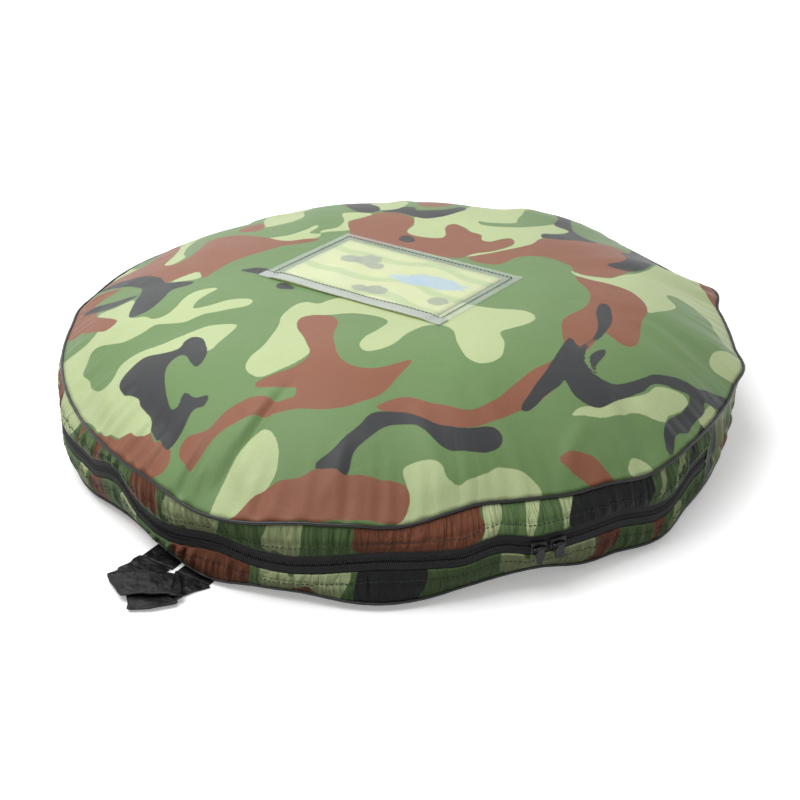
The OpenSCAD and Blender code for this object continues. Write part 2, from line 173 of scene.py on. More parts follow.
class NodeSheet:
    """The node tree of one material, built node by node."""

    def __init__(self, name: str, world: bpy.types.World | None = None) -> None:
        """Starts an empty material of that name, or empties a world's tree.

        Args:
            name: the material's name.
            world: a world whose tree is used instead.
        """
        self.material = bpy.data.materials.new(name) if world is None else world
        self.material.use_nodes = True
        self.tree = self.material.node_tree
        self.tree.nodes.clear()

    def node(self, kind: str, settings: dict[str, Any] | None = None,
             sockets: dict[Any, Any] | None = None) -> bpy.types.Node:
        """Adds any node.

        Args:
            kind: the node's Blender type.
            settings: its properties, or a ramp's stops, set before the sockets.
            sockets: values or links of its inputs, by name or number.

        Returns:
            The new node.
        """
        node = self.tree.nodes.new(kind)
        for name, value in (settings or {}).items():
            if name == "stops":
                self._set_stops(node.color_ramp, value)
            else:
                setattr(node, name, value)
        for name, value in (sockets or {}).items():
            socket = node.inputs[name]
            if isinstance(value, Value):
                self.tree.links.new(value.socket, socket)
            else:
                socket.default_value = self._fitted(socket, value)
        return node

    @staticmethod
    def _set_stops(ramp: bpy.types.ColorRamp, stops: Sequence[tuple[float, Colour]]) -> None:
        """Sets a ramp's stops as (place, colour) pairs.

        Args:
            ramp: the colour ramp.
            stops: its places and colours.
        """
        while len(ramp.elements) < len(stops):
            ramp.elements.new(1.0)
        for element, (place, colour) in zip(ramp.elements, stops):
            element.position = place
            element.color = (*colour, 1.0)

    @staticmethod
    def _fitted(socket: bpy.types.NodeSocket, value: Any) -> Any:
        """A colour gains its fourth channel where the socket has one.

        Args:
            socket: the input.
            value: what it is set to.

        Returns:
            The value in the socket's form.
        """
        if socket.type == "RGBA" and len(value) == 3:
            return (*value, 1.0)
        return value

    def out(self, node: bpy.types.Node, name: Any = 0) -> Value:
        """One output of a node, ready for expressions."""
        return Value(self, node.outputs[name])

    def place(self) -> Value:
        """Object coordinates of the surface, in metres."""
        return self.out(self.node("ShaderNodeTexCoord"), "Object")

    def cloth_place(self) -> tuple[Value, Value, Value]:
        """The cloth's own flat coordinates, as a vector and as its two lengths.

        Returns:
            The vector and its two lengths, in metres.
        """
        vector = self.out(self.node("ShaderNodeUVMap", {"uv_map": CLOTH_UV}))
        parts = self.node("ShaderNodeSeparateXYZ", None, {0: vector})
        return vector, self.out(parts, "X"), self.out(parts, "Y")

    def attribute(self, name: str) -> Value:
        """A number that the mesh carries at each point."""
        return self.out(self.node("ShaderNodeAttribute", {"attribute_name": name}), "Fac")

    def noise(self, vector: Value, scale: float, detail: float = 3.0) -> Value:
        """Soft noise from 0 to 1."""
        sockets = {"Vector": vector, "Scale": scale, "Detail": detail}
        return self.out(self.node("ShaderNodeTexNoise", None, sockets), "Fac")

    def mix(self, share: Any, first: Any, second: Any) -> Value:
        """A colour between two colours."""
        node = self.node("ShaderNodeMix", {"data_type": "RGBA"}, {0: share, 6: first, 7: second})
        return self.out(node, 2)

    def shade(self, colour: Any, factor: Value) -> Value:
        """A colour made lighter or darker by a factor around 1."""
        sockets = {0: colour if isinstance(colour, Value) else tuple(colour), 1: factor}
        return self.out(self.node("ShaderNodeVectorMath", {"operation": "MULTIPLY"}, sockets))

    def bump(self, height: Value, distance: float, strength: float = 1.0) -> Value:
        """A normal from a height field whose full range is that distance in metres."""
        sockets = {"Height": height, "Distance": distance, "Strength": strength}
        return self.out(self.node("ShaderNodeBump", None, sockets))

    def seen(self) -> Value:
        """1 where the camera, a gloss or a clear sheet shows the surface, 0 where it only gives light.

        Returns:
            The value, 0 or 1.
        """
        light = self.node("ShaderNodeLightPath")
        kinds = ("Camera", "Glossy", "Transmission")
        camera, glossy, clear = (self.out(light, f"Is {kind} Ray") for kind in kinds)
        return (camera + glossy + clear).clamped()

    def finish(self, sockets: dict[str, Any]) -> Finish:
        """Ends the material in one principled shader.

        Args:
            sockets: values or links of the shader's inputs.

        Returns:
            The finished material.
        """
        shader = self.node("ShaderNodeBsdfPrincipled", None, sockets)
        self.node("ShaderNodeOutputMaterial", None, {"Surface": self.out(shader)})
        return self.material


class Blotch(Enum):
    """Printed colours of the camouflage, over its green ground, from the lowest up."""

    PALE = "pale"
    GREEN = "green"
    BROWN = "brown"
    BLACK = "black"


@dataclass(frozen=True)
class CamoPrint:
    """Printed and coated polyester of the bag and of the folded blind."""

    name: str
    green: Colour = srgb(110, 140, 88)
    pale: Colour = srgb(186, 201, 149)
    brown: Colour = srgb(142, 91, 68)
    black: Colour = srgb(54, 56, 57)
    edge: float = 0.7 * MM
    thread: float = 0.9 * MM
    roughness: float = 0.42
    specular: float = 0.28
    sheen: float = 0.3
    gathered: float = 0.0
    puckered: float = 0.0
    fade: float = 0.0
    fade_to: Colour = srgb(150, 152, 138)

    def material(self) -> Finish:
        """Green ground under layers of blotches, a fine weave and a satin coating.

        Returns:
            The finished material.
        """
        sheet = NodeSheet(self.name)
        place = sheet.place()
        _, across, along = sheet.cloth_place()
        ragged = (sheet.noise(place, 260.0) - 0.5) * (0.9 * MM)
        colour: Any = self.green
        for blotch in Blotch:
            inside = (sheet.attribute(blotch.value) + ragged) / self.edge
            colour = sheet.mix((inside + 0.5).clamped(), colour, getattr(self, blotch.value))
        if self.fade:
            colour = sheet.mix(self.fade, colour, self.fade_to)
        cloudy = sheet.noise(place, 9.0) * 0.16
        mottled = sheet.noise(place, 520.0, 2.0) * 0.14
        colour = sheet.shade(colour, cloudy + mottled + 0.85)
        waves = (across * (TURN / self.thread)).sine() * (along * (TURN / self.thread)).sine()
        slack = sheet.noise(place, 60.0) * 3.0
        if self.gathered:
            drawn = sheet.out(sheet.node("ShaderNodeCombineXYZ", None, {0: across, 1: along * 0.15}))
            pleats = (sheet.noise(drawn, 150.0, 2.0) - 0.5).math("ABSOLUTE").math("SQRT")
            slack = slack + pleats * self.gathered
        if self.puckered:
            slack = slack + self._puckers(sheet, across, along) * self.puckered
        return sheet.finish({
            "Base Color": colour,
            "Roughness": sheet.noise(place, 35.0) * 0.14 + self.roughness,
            "Specular IOR Level": self.specular,
            "Sheen Weight": self.sheen,
            "Sheen Roughness": 0.35,
            "Normal": sheet.bump(waves * 0.25 + slack, 0.12 * MM),
        })

    @staticmethod
    def _puckers(sheet: NodeSheet, across: Value, along: Value) -> Value:
        """Crinkles of a round panel: fine rays towards its seam and soft folds over the rest.

        Args:
            sheet: the material's nodes.
            across: flat length across the cloth.
            along: flat length along it.

        Returns:
            Their height, about 1 at most.
        """
        radius = (across * across + along * along).math("SQRT").math("MAXIMUM", 0.01)
        rays = sheet.out(sheet.node("ShaderNodeCombineXYZ", None, {
            0: across / radius * 0.3, 1: along / radius * 0.3, 2: radius * 0.2}))
        seam = ((radius - 0.225) / 0.07).clamped()
        drawn = (sheet.noise(rays, 40.0, 1.0) - 0.5).math("ABSOLUTE").math("SQRT") * seam
        flat = sheet.out(sheet.node("ShaderNodeCombineXYZ", None, {0: across, 1: along}))
        fold = (sheet.noise(flat, 11.0, 4.0) - 0.5).math("ABSOLUTE") * 4.0
        return drawn + fold.clamped().math("SQRT") * 0.35


@dataclass(frozen=True)
class WovenBlack:
    """Black narrow fabric: zip tape, webbing, sleeves, with ribs of a stated pitch."""

    name: str
    colour: Colour
    # Grey of the crests and patches: partly wear, partly painted highlight
    worn: Colour
    rib: float
    pick: float
    depth: float
    roughness: float
    crumple: float = 0.0

    def material(self) -> Finish:
        """Ribs along the tape crossed by finer picks, a little greyer on their crests: partly wear, partly
        painted highlight.

        Returns:
            The finished material.
        """
        sheet = NodeSheet(self.name)
        place = sheet.place()
        _, along, across = sheet.cloth_place()
        rows = (across * (TURN / self.rib)).sine()
        picks = (along * (TURN / self.pick)).sine()
        height = rows * 0.35 + rows * picks * 0.15 + 0.5
        # Grey on rib crests in noise patches: partly wear, partly painted highlight.
        dust_and_sheen = sheet.noise(place, 45.0) * 0.6
        colour = sheet.mix((height * dust_and_sheen).clamped(), self.colour, self.worn)
        return sheet.finish({
            "Base Color": colour,
            "Roughness": sheet.noise(place, 120.0) * 0.2 + self.roughness,
            "Specular IOR Level": 0.3,
            "Normal": sheet.bump(height + sheet.noise(place, 70.0, 2.0) * self.crumple, self.depth),
        })


@dataclass(frozen=True)
class SmoothFinish:
    """Moulded, drawn or painted surface with fine speckle and slight wear."""

    name: str
    colour: Colour
    worn: Colour
    roughness: float
    metallic: float = 0.0
    coat: float = 0.0
    specular: float = 0.5
    grain: float = 900.0
    depth: float = 0.03 * MM

    def material(self) -> Finish:
        """Colour that drifts towards its worn tone, with uneven gloss.

        Returns:
            The finished material.
        """
        sheet = NodeSheet(self.name)
        place = sheet.place()
        patches = sheet.noise(place, 140.0, 4.0)
        fine = sheet.noise(place, self.grain, 2.0)
        wear = ((patches - 0.45) * 2.2).clamped() * 0.6
        return sheet.finish({
            "Base Color": sheet.mix(wear, self.colour, self.worn),
            "Roughness": fine * 0.16 + self.roughness,
            "Metallic": self.metallic,
            "Specular IOR Level": self.specular,
            "Coat Weight": self.coat,
            "Coat Roughness": 0.15,
            "Normal": sheet.bump(fine, self.depth),
        })


@dataclass(frozen=True)
class ClearSheet:
    """Clear vinyl of the pocket, a little cloudy and scuffed."""

    name: str
    tint: Colour
    cover: float
    roughness: float = 0.12

    def material(self) -> Finish:
        """See-through sheet whose haze and scuffs vary over it.

        Returns:
            The finished material.
        """
        sheet = NodeSheet(self.name)
        place = sheet.place()
        haze = sheet.noise(place, 30.0, 4.0)
        scuffs = sheet.noise(place, 700.0, 2.0)
        return sheet.finish({
            "Base Color": self.tint,
            "Roughness": haze * 0.2 + self.roughness,
            "Specular IOR Level": 0.6,
            "Alpha": (haze * 0.16 + scuffs * 0.02 + self.cover).clamped(),
            "Normal": sheet.bump(haze, 0.5 * MM),
        })


@dataclass(frozen=True)
class PrintedCard:
    """Card with a made-up landscape of fields, a pond and bushes."""

    name: str
    paper: Colour = srgb(214, 221, 146)
    field: Colour = srgb(180, 203, 114)
    pond: Colour = srgb(162, 197, 226)
    bush: Colour = srgb(112, 130, 92)
    # Ovals as (x, y, half width, half height) in millimetres
    ponds: Sequence[tuple[float, float, float, float]] = ((126, 74, 30, 13), (104, 66, 22, 9))
    bushes: Sequence[tuple[float, float, float, float]] = (
        (30, 78, 11, 9), (44, 84, 13, 12), (58, 76, 9, 8), (92, 30, 12, 10), (78, 26, 9, 8), (150, 40, 10, 9))

    def material(self) -> Finish:
        """Rolling fields across the card with ovals over them.

        Returns:
            The finished material.
        """
        sheet = NodeSheet(self.name)
        vector, across, along = sheet.cloth_place()
        roll = (across * 42.0).sine() * (7 * MM) + (across * 95.0 + 1.0).sine() * (3 * MM)
        colour: Any = self.paper
        for low, high in ((10 * MM, 24 * MM), (46 * MM, 58 * MM), (92 * MM, 104 * MM)):
            rise = ((along + roll - low) / (1.5 * MM)).clamped()
            fall = ((high - along - roll) / (1.5 * MM)).clamped()
            colour = sheet.mix(rise * fall, colour, self.field)
        wobble = (sheet.noise(vector, 130.0) - 0.5) * 0.9
        for ovals, tone in ((self.ponds, self.pond), (self.bushes, self.bush)):
            for x, y, half_w, half_h in ovals:
                out = (across - x * MM) / (half_w * MM)
                up = (along - y * MM) / (half_h * MM)
                inside = 1.0 - (out * out + up * up).math("SQRT") + wobble
                colour = sheet.mix((inside * 8.0).clamped() * 0.85, colour, tone)
        ink = sheet.noise(vector, 900.0, 2.0) * 0.06
        return sheet.finish({
            "Base Color": sheet.shade(colour, ink + sheet.noise(vector, 25.0) * 0.1 + 0.92),
            "Roughness": sheet.noise(vector, 80.0) * 0.1 + 0.45,
            "Coat Weight": 0.2,
            "Coat Roughness": 0.25,
            "Normal": sheet.bump(ink, 0.05 * MM),
        })


class Finishes:
    """Every finish of the bag, made once and shared by its pieces."""

    def __init__(self) -> None:
        """Makes the materials."""
        self.camo = CamoPrint("camo_cloth", puckered=9.0).material()
        # Gusset cloth: the top's print with darker green, brown and black as painted shade of the sides, and
        # less gloss.
        self.camo_shaded_side = CamoPrint("camo_cloth_side_painted_shade", green=srgb(98, 122, 79), pale=srgb(196, 210, 158),
                                   brown=srgb(128, 81, 61), black=srgb(38, 39, 40), specular=0.12, sheen=0.0,
                                   gathered=22.0).material()
        self.camo_back = CamoPrint("camo_cloth_back", roughness=0.6, fade=0.55).material()
        self.blind_cloth = CamoPrint("blind_cloth", roughness=0.6, fade=0.12).material()
        self.piping = SmoothFinish("piping_vinyl", srgb(9, 9, 10), srgb(24, 24, 25), 0.24, coat=0.1,
                                   specular=0.35, grain=500.0).material()
        self.tape = WovenBlack("zip_tape_weave", srgb(13, 14, 15), srgb(36, 37, 40), 1.6 * MM, 0.8 * MM,
                               0.2 * MM, 0.6).material()
        # Webbing whose grey crests and patches are partly wear, partly painted highlight.
        self.webbing = WovenBlack("webbing_weave", srgb(11, 11, 11), srgb(52, 52, 52), 1.5 * MM, 1.1 * MM,
                                  0.22 * MM, 0.38, crumple=26.0).material()
        self.sleeve = WovenBlack("sleeve_weave", srgb(28, 32, 26), srgb(62, 66, 56), 1.2 * MM, 1.2 * MM,
                                 0.2 * MM, 0.6).material()
        self.coil = SmoothFinish("coil_nylon", srgb(14, 14, 15), srgb(40, 40, 42), 0.35).material()
        self.metal = SmoothFinish("black_enamel", srgb(13, 13, 14), srgb(44, 44, 46), 0.34, metallic=0.2,
                                  coat=0.1, specular=0.35).material()
        self.steel = SmoothFinish("spring_steel", srgb(150, 153, 157), srgb(96, 97, 99), 0.3,
                                  metallic=1.0).material()
        self.stake = SmoothFinish("stake_steel", srgb(166, 169, 173), srgb(112, 112, 110), 0.35,
                                  metallic=1.0).material()
        self.clear = ClearSheet("clear_vinyl", srgb(232, 238, 232), 0.1).material()
        self.strip = ClearSheet("clouded_vinyl", srgb(206, 213, 208), 0.36).material()
        self.card = PrintedCard("card_print").material()
        self.thread = SmoothFinish("dark_thread", srgb(26, 31, 24), srgb(44, 50, 40), 0.55,
                                   grain=2500.0).material()
        self.grey_thread = SmoothFinish("grey_thread", srgb(74, 80, 80), srgb(110, 114, 112), 0.5,
                                        grain=2500.0).material()


class Bench:
    """Modelling moves, one mesh at a time."""

    @staticmethod
    def clear() -> None:
        """Nothing is selected."""
        bpy.ops.object.select_all(action="DESELECT")

    @staticmethod
    def pick(obj: Piece) -> None:
        """Only this object is selected, and it is active.

        Args:
            obj: the object.
        """
        Bench.clear()
        obj.select_set(True)
        bpy.context.view_layer.objects.active = obj

    @staticmethod
    def parameters(obj: Piece) -> tuple[Array, Array]:
        """The two shares, from 0 to 1, of each vertex of a unit grid.

        Args:
            obj: a grid of size 1 at the origin.

        Returns:
            The shares along its first and second side.
        """
        flat = np.empty(len(obj.data.vertices) * 3)
        obj.data.vertices.foreach_get("co", flat)
        flat = flat.reshape(-1, 3) + 0.5
        return flat[:, 0], flat[:, 1]

    @staticmethod
    def sheet(name: str, columns: int, rows: int, surface: Surface,
              cloth: Callable[[Array, Array], Points]) -> Piece:
        """A grid laid on a surface.

        Args:
            name: the piece's name.
            columns: faces along the first parameter.
            rows: faces along the second.
            surface: gives the points for two shares from 0 to 1.
            cloth: gives the flat cloth coordinates for the same shares, in metres.

        Returns:
            The new object, at the origin.
        """
        Bench.clear()
        bpy.ops.mesh.primitive_grid_add(x_subdivisions=columns, y_subdivisions=rows, size=1.0)
        obj = bpy.context.object
        obj.name = name
        obj.data.name = name
        first, second = Bench.parameters(obj)
        obj.data.vertices.foreach_set("co", np.ascontiguousarray(surface(first, second)).ravel())
        layer = obj.data.uv_layers.active
        layer.name = CLOTH_UV
        corners = np.empty(len(obj.data.loops), dtype=np.int64)
        obj.data.loops.foreach_get("vertex_index", corners)
        flat = cloth(first, second)[corners]
        obj.data.uv_layers[CLOTH_UV].data.foreach_set("uv", np.ascontiguousarray(flat).ravel())
        obj.data.update()
        return obj

    @staticmethod
    def weld(obj: Piece, outward: bool = True) -> None:
        """Closes seams and poles, and points the faces outwards where asked.

        Args:
            obj: the mesh.
            outward: whether its faces are turned outwards.
        """
        Bench.pick(obj)
        bpy.ops.object.mode_set(mode="EDIT")
        bpy.ops.mesh.select_all(action="SELECT")
        bpy.ops.mesh.remove_doubles(threshold=0.01 * MM)
        if outward:
            bpy.ops.mesh.normals_make_consistent(inside=False)
        bpy.ops.object.mode_set(mode="OBJECT")
        bpy.ops.object.shade_smooth()

    @staticmethod
    def flip(obj: Piece) -> None:
        """Turns the faces round.

        Args:
            obj: the mesh.
        """
        Bench.pick(obj)
        bpy.ops.object.mode_set(mode="EDIT")
        bpy.ops.mesh.select_all(action="SELECT")
        bpy.ops.mesh.flip_normals()
        bpy.ops.object.mode_set(mode="OBJECT")

    @staticmethod
    def choose(obj: Piece, kind: str, wanted: Callable[[Any], bool]) -> None:
        """Selects the wanted corners (VERT) or faces (FACE) of a mesh, and stays in edit mode.

        Args:
            obj: the mesh.
            kind: VERT or FACE.
            wanted: says which of them.
        """
        Bench.pick(obj)
        bpy.ops.object.mode_set(mode="EDIT")
        bpy.ops.mesh.select_mode(type=kind)
        bpy.ops.mesh.select_all(action="DESELECT")
        bpy.ops.object.mode_set(mode="OBJECT")
        for item in obj.data.vertices if kind == "VERT" else obj.data.polygons:
            item.select = wanted(item)
        bpy.ops.object.mode_set(mode="EDIT")

    @staticmethod
    def modify(obj: Piece, kind: str, **settings: Any) -> None:
        """Adds a modifier and applies it.

        Args:
            obj: the mesh.
            kind: the modifier's Blender type.
            settings: its properties.
        """
        Bench.pick(obj)
        modifier = obj.modifiers.new(kind.lower(), kind)
        for name, value in settings.items():
            setattr(modifier, name, value)
        bpy.ops.object.modifier_apply(modifier=modifier.name)

    @staticmethod
    def thicken(obj: Piece, thickness: float, back: bool = False) -> None:
        """Gives a sheet its thickness inwards; its inner face may take the second material."""
        Bench.modify(obj, "SOLIDIFY", thickness=thickness, offset=-1.0, use_rim=True,
                     material_offset=1 if back else 0)

    @staticmethod
    def dress(obj: Piece, *materials: Finish) -> None:
        """Gives a piece its materials.

        Args:
            obj: the piece.
            materials: its finishes, the face's first.
        """
        obj.data.materials.clear()
        for material in materials:
            obj.data.materials.append(material)

    @staticmethod
    def cut(obj: Piece, turn: Callable[[Piece], None], thickness: float,
            *materials: Finish) -> None:
        """Welds a sheet, turns its face, dresses it (a second material is its back) and thickens it.

        Args:
            obj: the sheet.
            turn: turns its face the right way.
            thickness: of the cloth.
            materials: the face's finish, and the back's if it differs.
        """
        Bench.weld(obj, outward=False)
        turn(obj)
        Bench.dress(obj, *materials)
        Bench.thicken(obj, thickness, back=len(materials) > 1)

    @staticmethod
    def repeated(name: str, shape: Piece, frames: Array) -> Piece:
        """One mesh of many copies of a small shape.

        Args:
            name: the piece's name.
            shape: the object to copy, which is then removed.
            frames: matrices of 4 by 4, one for each copy.

        Returns:
            The new object.
        """
        corners = np.array([v.co for v in shape.data.vertices])
        faces = [tuple(p.vertices) for p in shape.data.polygons]
        placed = np.einsum("kij,nj->kni", frames[:, :3, :3], corners) + frames[:, None, :3, 3]
        count = len(corners)
        every = [tuple(i + k * count for i in f) for k in range(len(frames)) for f in faces]
        mesh = bpy.data.meshes.new(name)
        mesh.from_pydata(placed.reshape(-1, 3).tolist(), [], every)
        mesh.polygons.foreach_set("use_smooth", [True] * len(every))
        obj = bpy.data.objects.new(name, mesh)
        bpy.context.scene.collection.objects.link(obj)
        bpy.data.objects.remove(shape, do_unlink=True)
        return obj

    @staticmethod
    def stitches(name: str, path: Points, normals: Points, length: float, gap: float,
                 radius: float) -> Piece:
        """A row of thread stitches along a path.

        Args:
            name: the piece's name.
            path: close points along the seam.
            normals: the cloth's outward direction at each point.
            length: length of one stitch.
            gap: space between two stitches.
            radius: radius of the thread.

        Returns:
            The new object.
        """
        Bench.clear()
        bpy.ops.mesh.primitive_uv_sphere_add(segments=6, ring_count=4, radius=1.0)
        shape = bpy.context.object
        steps = np.r_[0, np.cumsum(np.linalg.norm(np.diff(path, axis=0), axis=1))]
        places = np.arange(length / 2, steps[-1] - length / 2, length + gap)
        at = np.stack([np.interp(places, steps, path[:, k]) for k in range(3)], axis=1)
        ahead = np.stack([np.interp(places + length / 4, steps, path[:, k]) for k in range(3)], axis=1)
        up = np.stack([np.interp(places, steps, normals[:, k]) for k in range(3)], axis=1)
        way = ahead - at
        way /= np.linalg.norm(way, axis=1, keepdims=True)
        up -= way * np.sum(up * way, axis=1, keepdims=True)
        up /= np.linalg.norm(up, axis=1, keepdims=True)
        frames = np.zeros((len(places), 4, 4))
        frames[:, :3, 0] = way * length / 2
        frames[:, :3, 1] = np.cross(up, way) * radius
        frames[:, :3, 2] = up * radius
        frames[:, :3, 3] = at
        frames[:, 3, 3] = 1
        return Bench.repeated(name, shape, frames)


class Camouflage:
    """A woodland print as brush strokes and outlines of each colour, on a flat piece of cloth."""

    rounding = 5 * MM

    def __init__(self, strokes: dict[Blotch, Sequence[Stroke]], wobble: float = 1.6 * MM,
                 outlines: dict[Blotch, Sequence[Outline]] | None = None) -> None:
        """Takes the print's shapes.

        Args:
            strokes: brush strokes as (across, along, half width) in millimetres.
            wobble: how far the edges wander.
            outlines: rounded shapes by their corners, in millimetres.
        """
        self.strokes = strokes
        self.wobble = wobble
        self.outlines = outlines or {}

    @classmethod
    def scattered(cls, seed: int, low: tuple[float, float], high: tuple[float, float],
                  spacing: float = 95.0) -> Camouflage:
        """A print of made-up strokes over a rectangle.

        Args:
            seed: fixes the draw.
            low: lowest corner, in millimetres.
            high: highest corner, in millimetres.
            spacing: about how far strokes of one colour lie apart.

        Returns:
            The print.
        """
        rng = np.random.default_rng(seed)
        area = (high[0] - low[0]) * (high[1] - low[1])
        strokes: dict[Blotch, list[Stroke]] = {}
        for blotch, share, half in ((Blotch.PALE, 1.25, 15.0), (Blotch.BROWN, 1.1, 16.0),
                                    (Blotch.BLACK, 0.75, 10.0)):
            strokes[blotch] = []
            for _ in range(max(2, int(area / spacing ** 2 * share))):
                point = rng.uniform(low, high)
                heading = rng.uniform(0, TURN)
                stroke = []
                for _ in range(int(rng.integers(4, 7))):
                    stroke.append((point[0], point[1], half * rng.uniform(0.55, 1.25)))
                    heading += rng.uniform(-0.9, 0.9)
                    point = point + rng.uniform(16, 30) * np.array([math.cos(heading), math.sin(heading)])
                strokes[blotch].append(stroke)
        return cls(strokes)

    def joined(self, other: Camouflage) -> Camouflage:
        """The strokes of this print and of another on the same cloth."""
        both = {b: [*self.strokes.get(b, ()), *other.strokes.get(b, ())] for b in Blotch}
        return Camouflage(both, self.wobble)

    def depth(self, blotch: Blotch, places: Points) -> Array:
        """How far inside a colour's shapes each place lies, in metres, negative outside.

        Args:
            blotch: the colour.
            places: points on the flat cloth, in metres.

        Returns:
            The depth at each place.
        """
        swirl = np.array([[0.9, 0.4], [-0.5, 1.0]]) * 70.0
        places = places + self.wobble * np.sin(places[:, ::-1] @ swirl + 1.0)
        places = places + self.wobble * 0.4 * np.sin(places[:, ::-1] @ swirl * 3.1 + 2.0)
        nearest = np.full(len(places), 1.0)
        for stroke in self.strokes.get(blotch, ()):
            points = np.array(stroke) * MM
            reach = np.full(len(places), 1.0)
            for first, second in zip(points, points[1:]):
                run = second[:2] - first[:2]
                share = np.clip((places - first[:2]) @ run / max(run @ run, 1e-12), 0, 1)
                gap = np.linalg.norm(places - first[:2] - share[:, None] * run, axis=1)
                reach = np.minimum(reach, gap - first[2] - share * (second[2] - first[2]))
            blend = np.maximum(self.rounding - np.abs(nearest - reach), 0) / self.rounding
            nearest = np.minimum(nearest, reach) - blend * blend * self.rounding / 4
        for outline in self.outlines.get(blotch, ()):
            nearest = np.minimum(nearest, -self._inside(np.array(outline) * MM, places))
        return -nearest

    @staticmethod
    def _inside(corners: Points, places: Points, steps: int = 4, reach: float = 8 * MM) -> Array:
        """How far inside a rounded outline each place lies, no further out than a short reach.

        Args:
            corners: the outline's points, in metres.
            places: points on the flat cloth.
            steps: points of the rounded line for each corner.
            reach: how far out the depth is measured.

        Returns:
            The depth at each place.
        """
        share = np.linspace(0, 1, steps, endpoint=False)[None, :, None]
        around = [np.roll(corners, k, axis=0)[:, None] for k in (1, 0, -1, -2)]
        start = through(share, *around).reshape(-1, 2)
        run = np.roll(start, -1, axis=0) - start
        depth = np.full(len(places), -reach)
        low, high = start.min(axis=0) - reach, start.max(axis=0) + reach
        near = np.flatnonzero(np.all((places > low) & (places < high), axis=1))
        gap = np.full(len(near), reach)
        within = np.zeros(len(near), dtype=bool)
        for first, way in zip(start, run):
            away = places[near] - first
            along = np.clip(away @ way / max(way @ way, 1e-12), 0, 1)
            gap = np.minimum(gap, np.linalg.norm(away - along[:, None] * way, axis=1))
            crossed = (away[:, 1] < 0) != (away[:, 1] < way[1])
            within ^= crossed & (away[:, 0] < away[:, 1] * way[0] / (way[1] or 1e-12))
        depth[near] = np.where(within, gap, -gap)
        return depth

    def paint(self, obj: Piece, places: Points) -> None:
        """Stores the print on a mesh whose vertices lie at these places on the flat cloth.

        Args:
            obj: the mesh.
            places: its vertices on the flat cloth, in metres.
        """
        for blotch in Blotch:
            layer = obj.data.attributes.new(blotch.value, "FLOAT", "POINT")
            layer.data.foreach_set("value", self.depth(blotch, places).astype(np.float32))
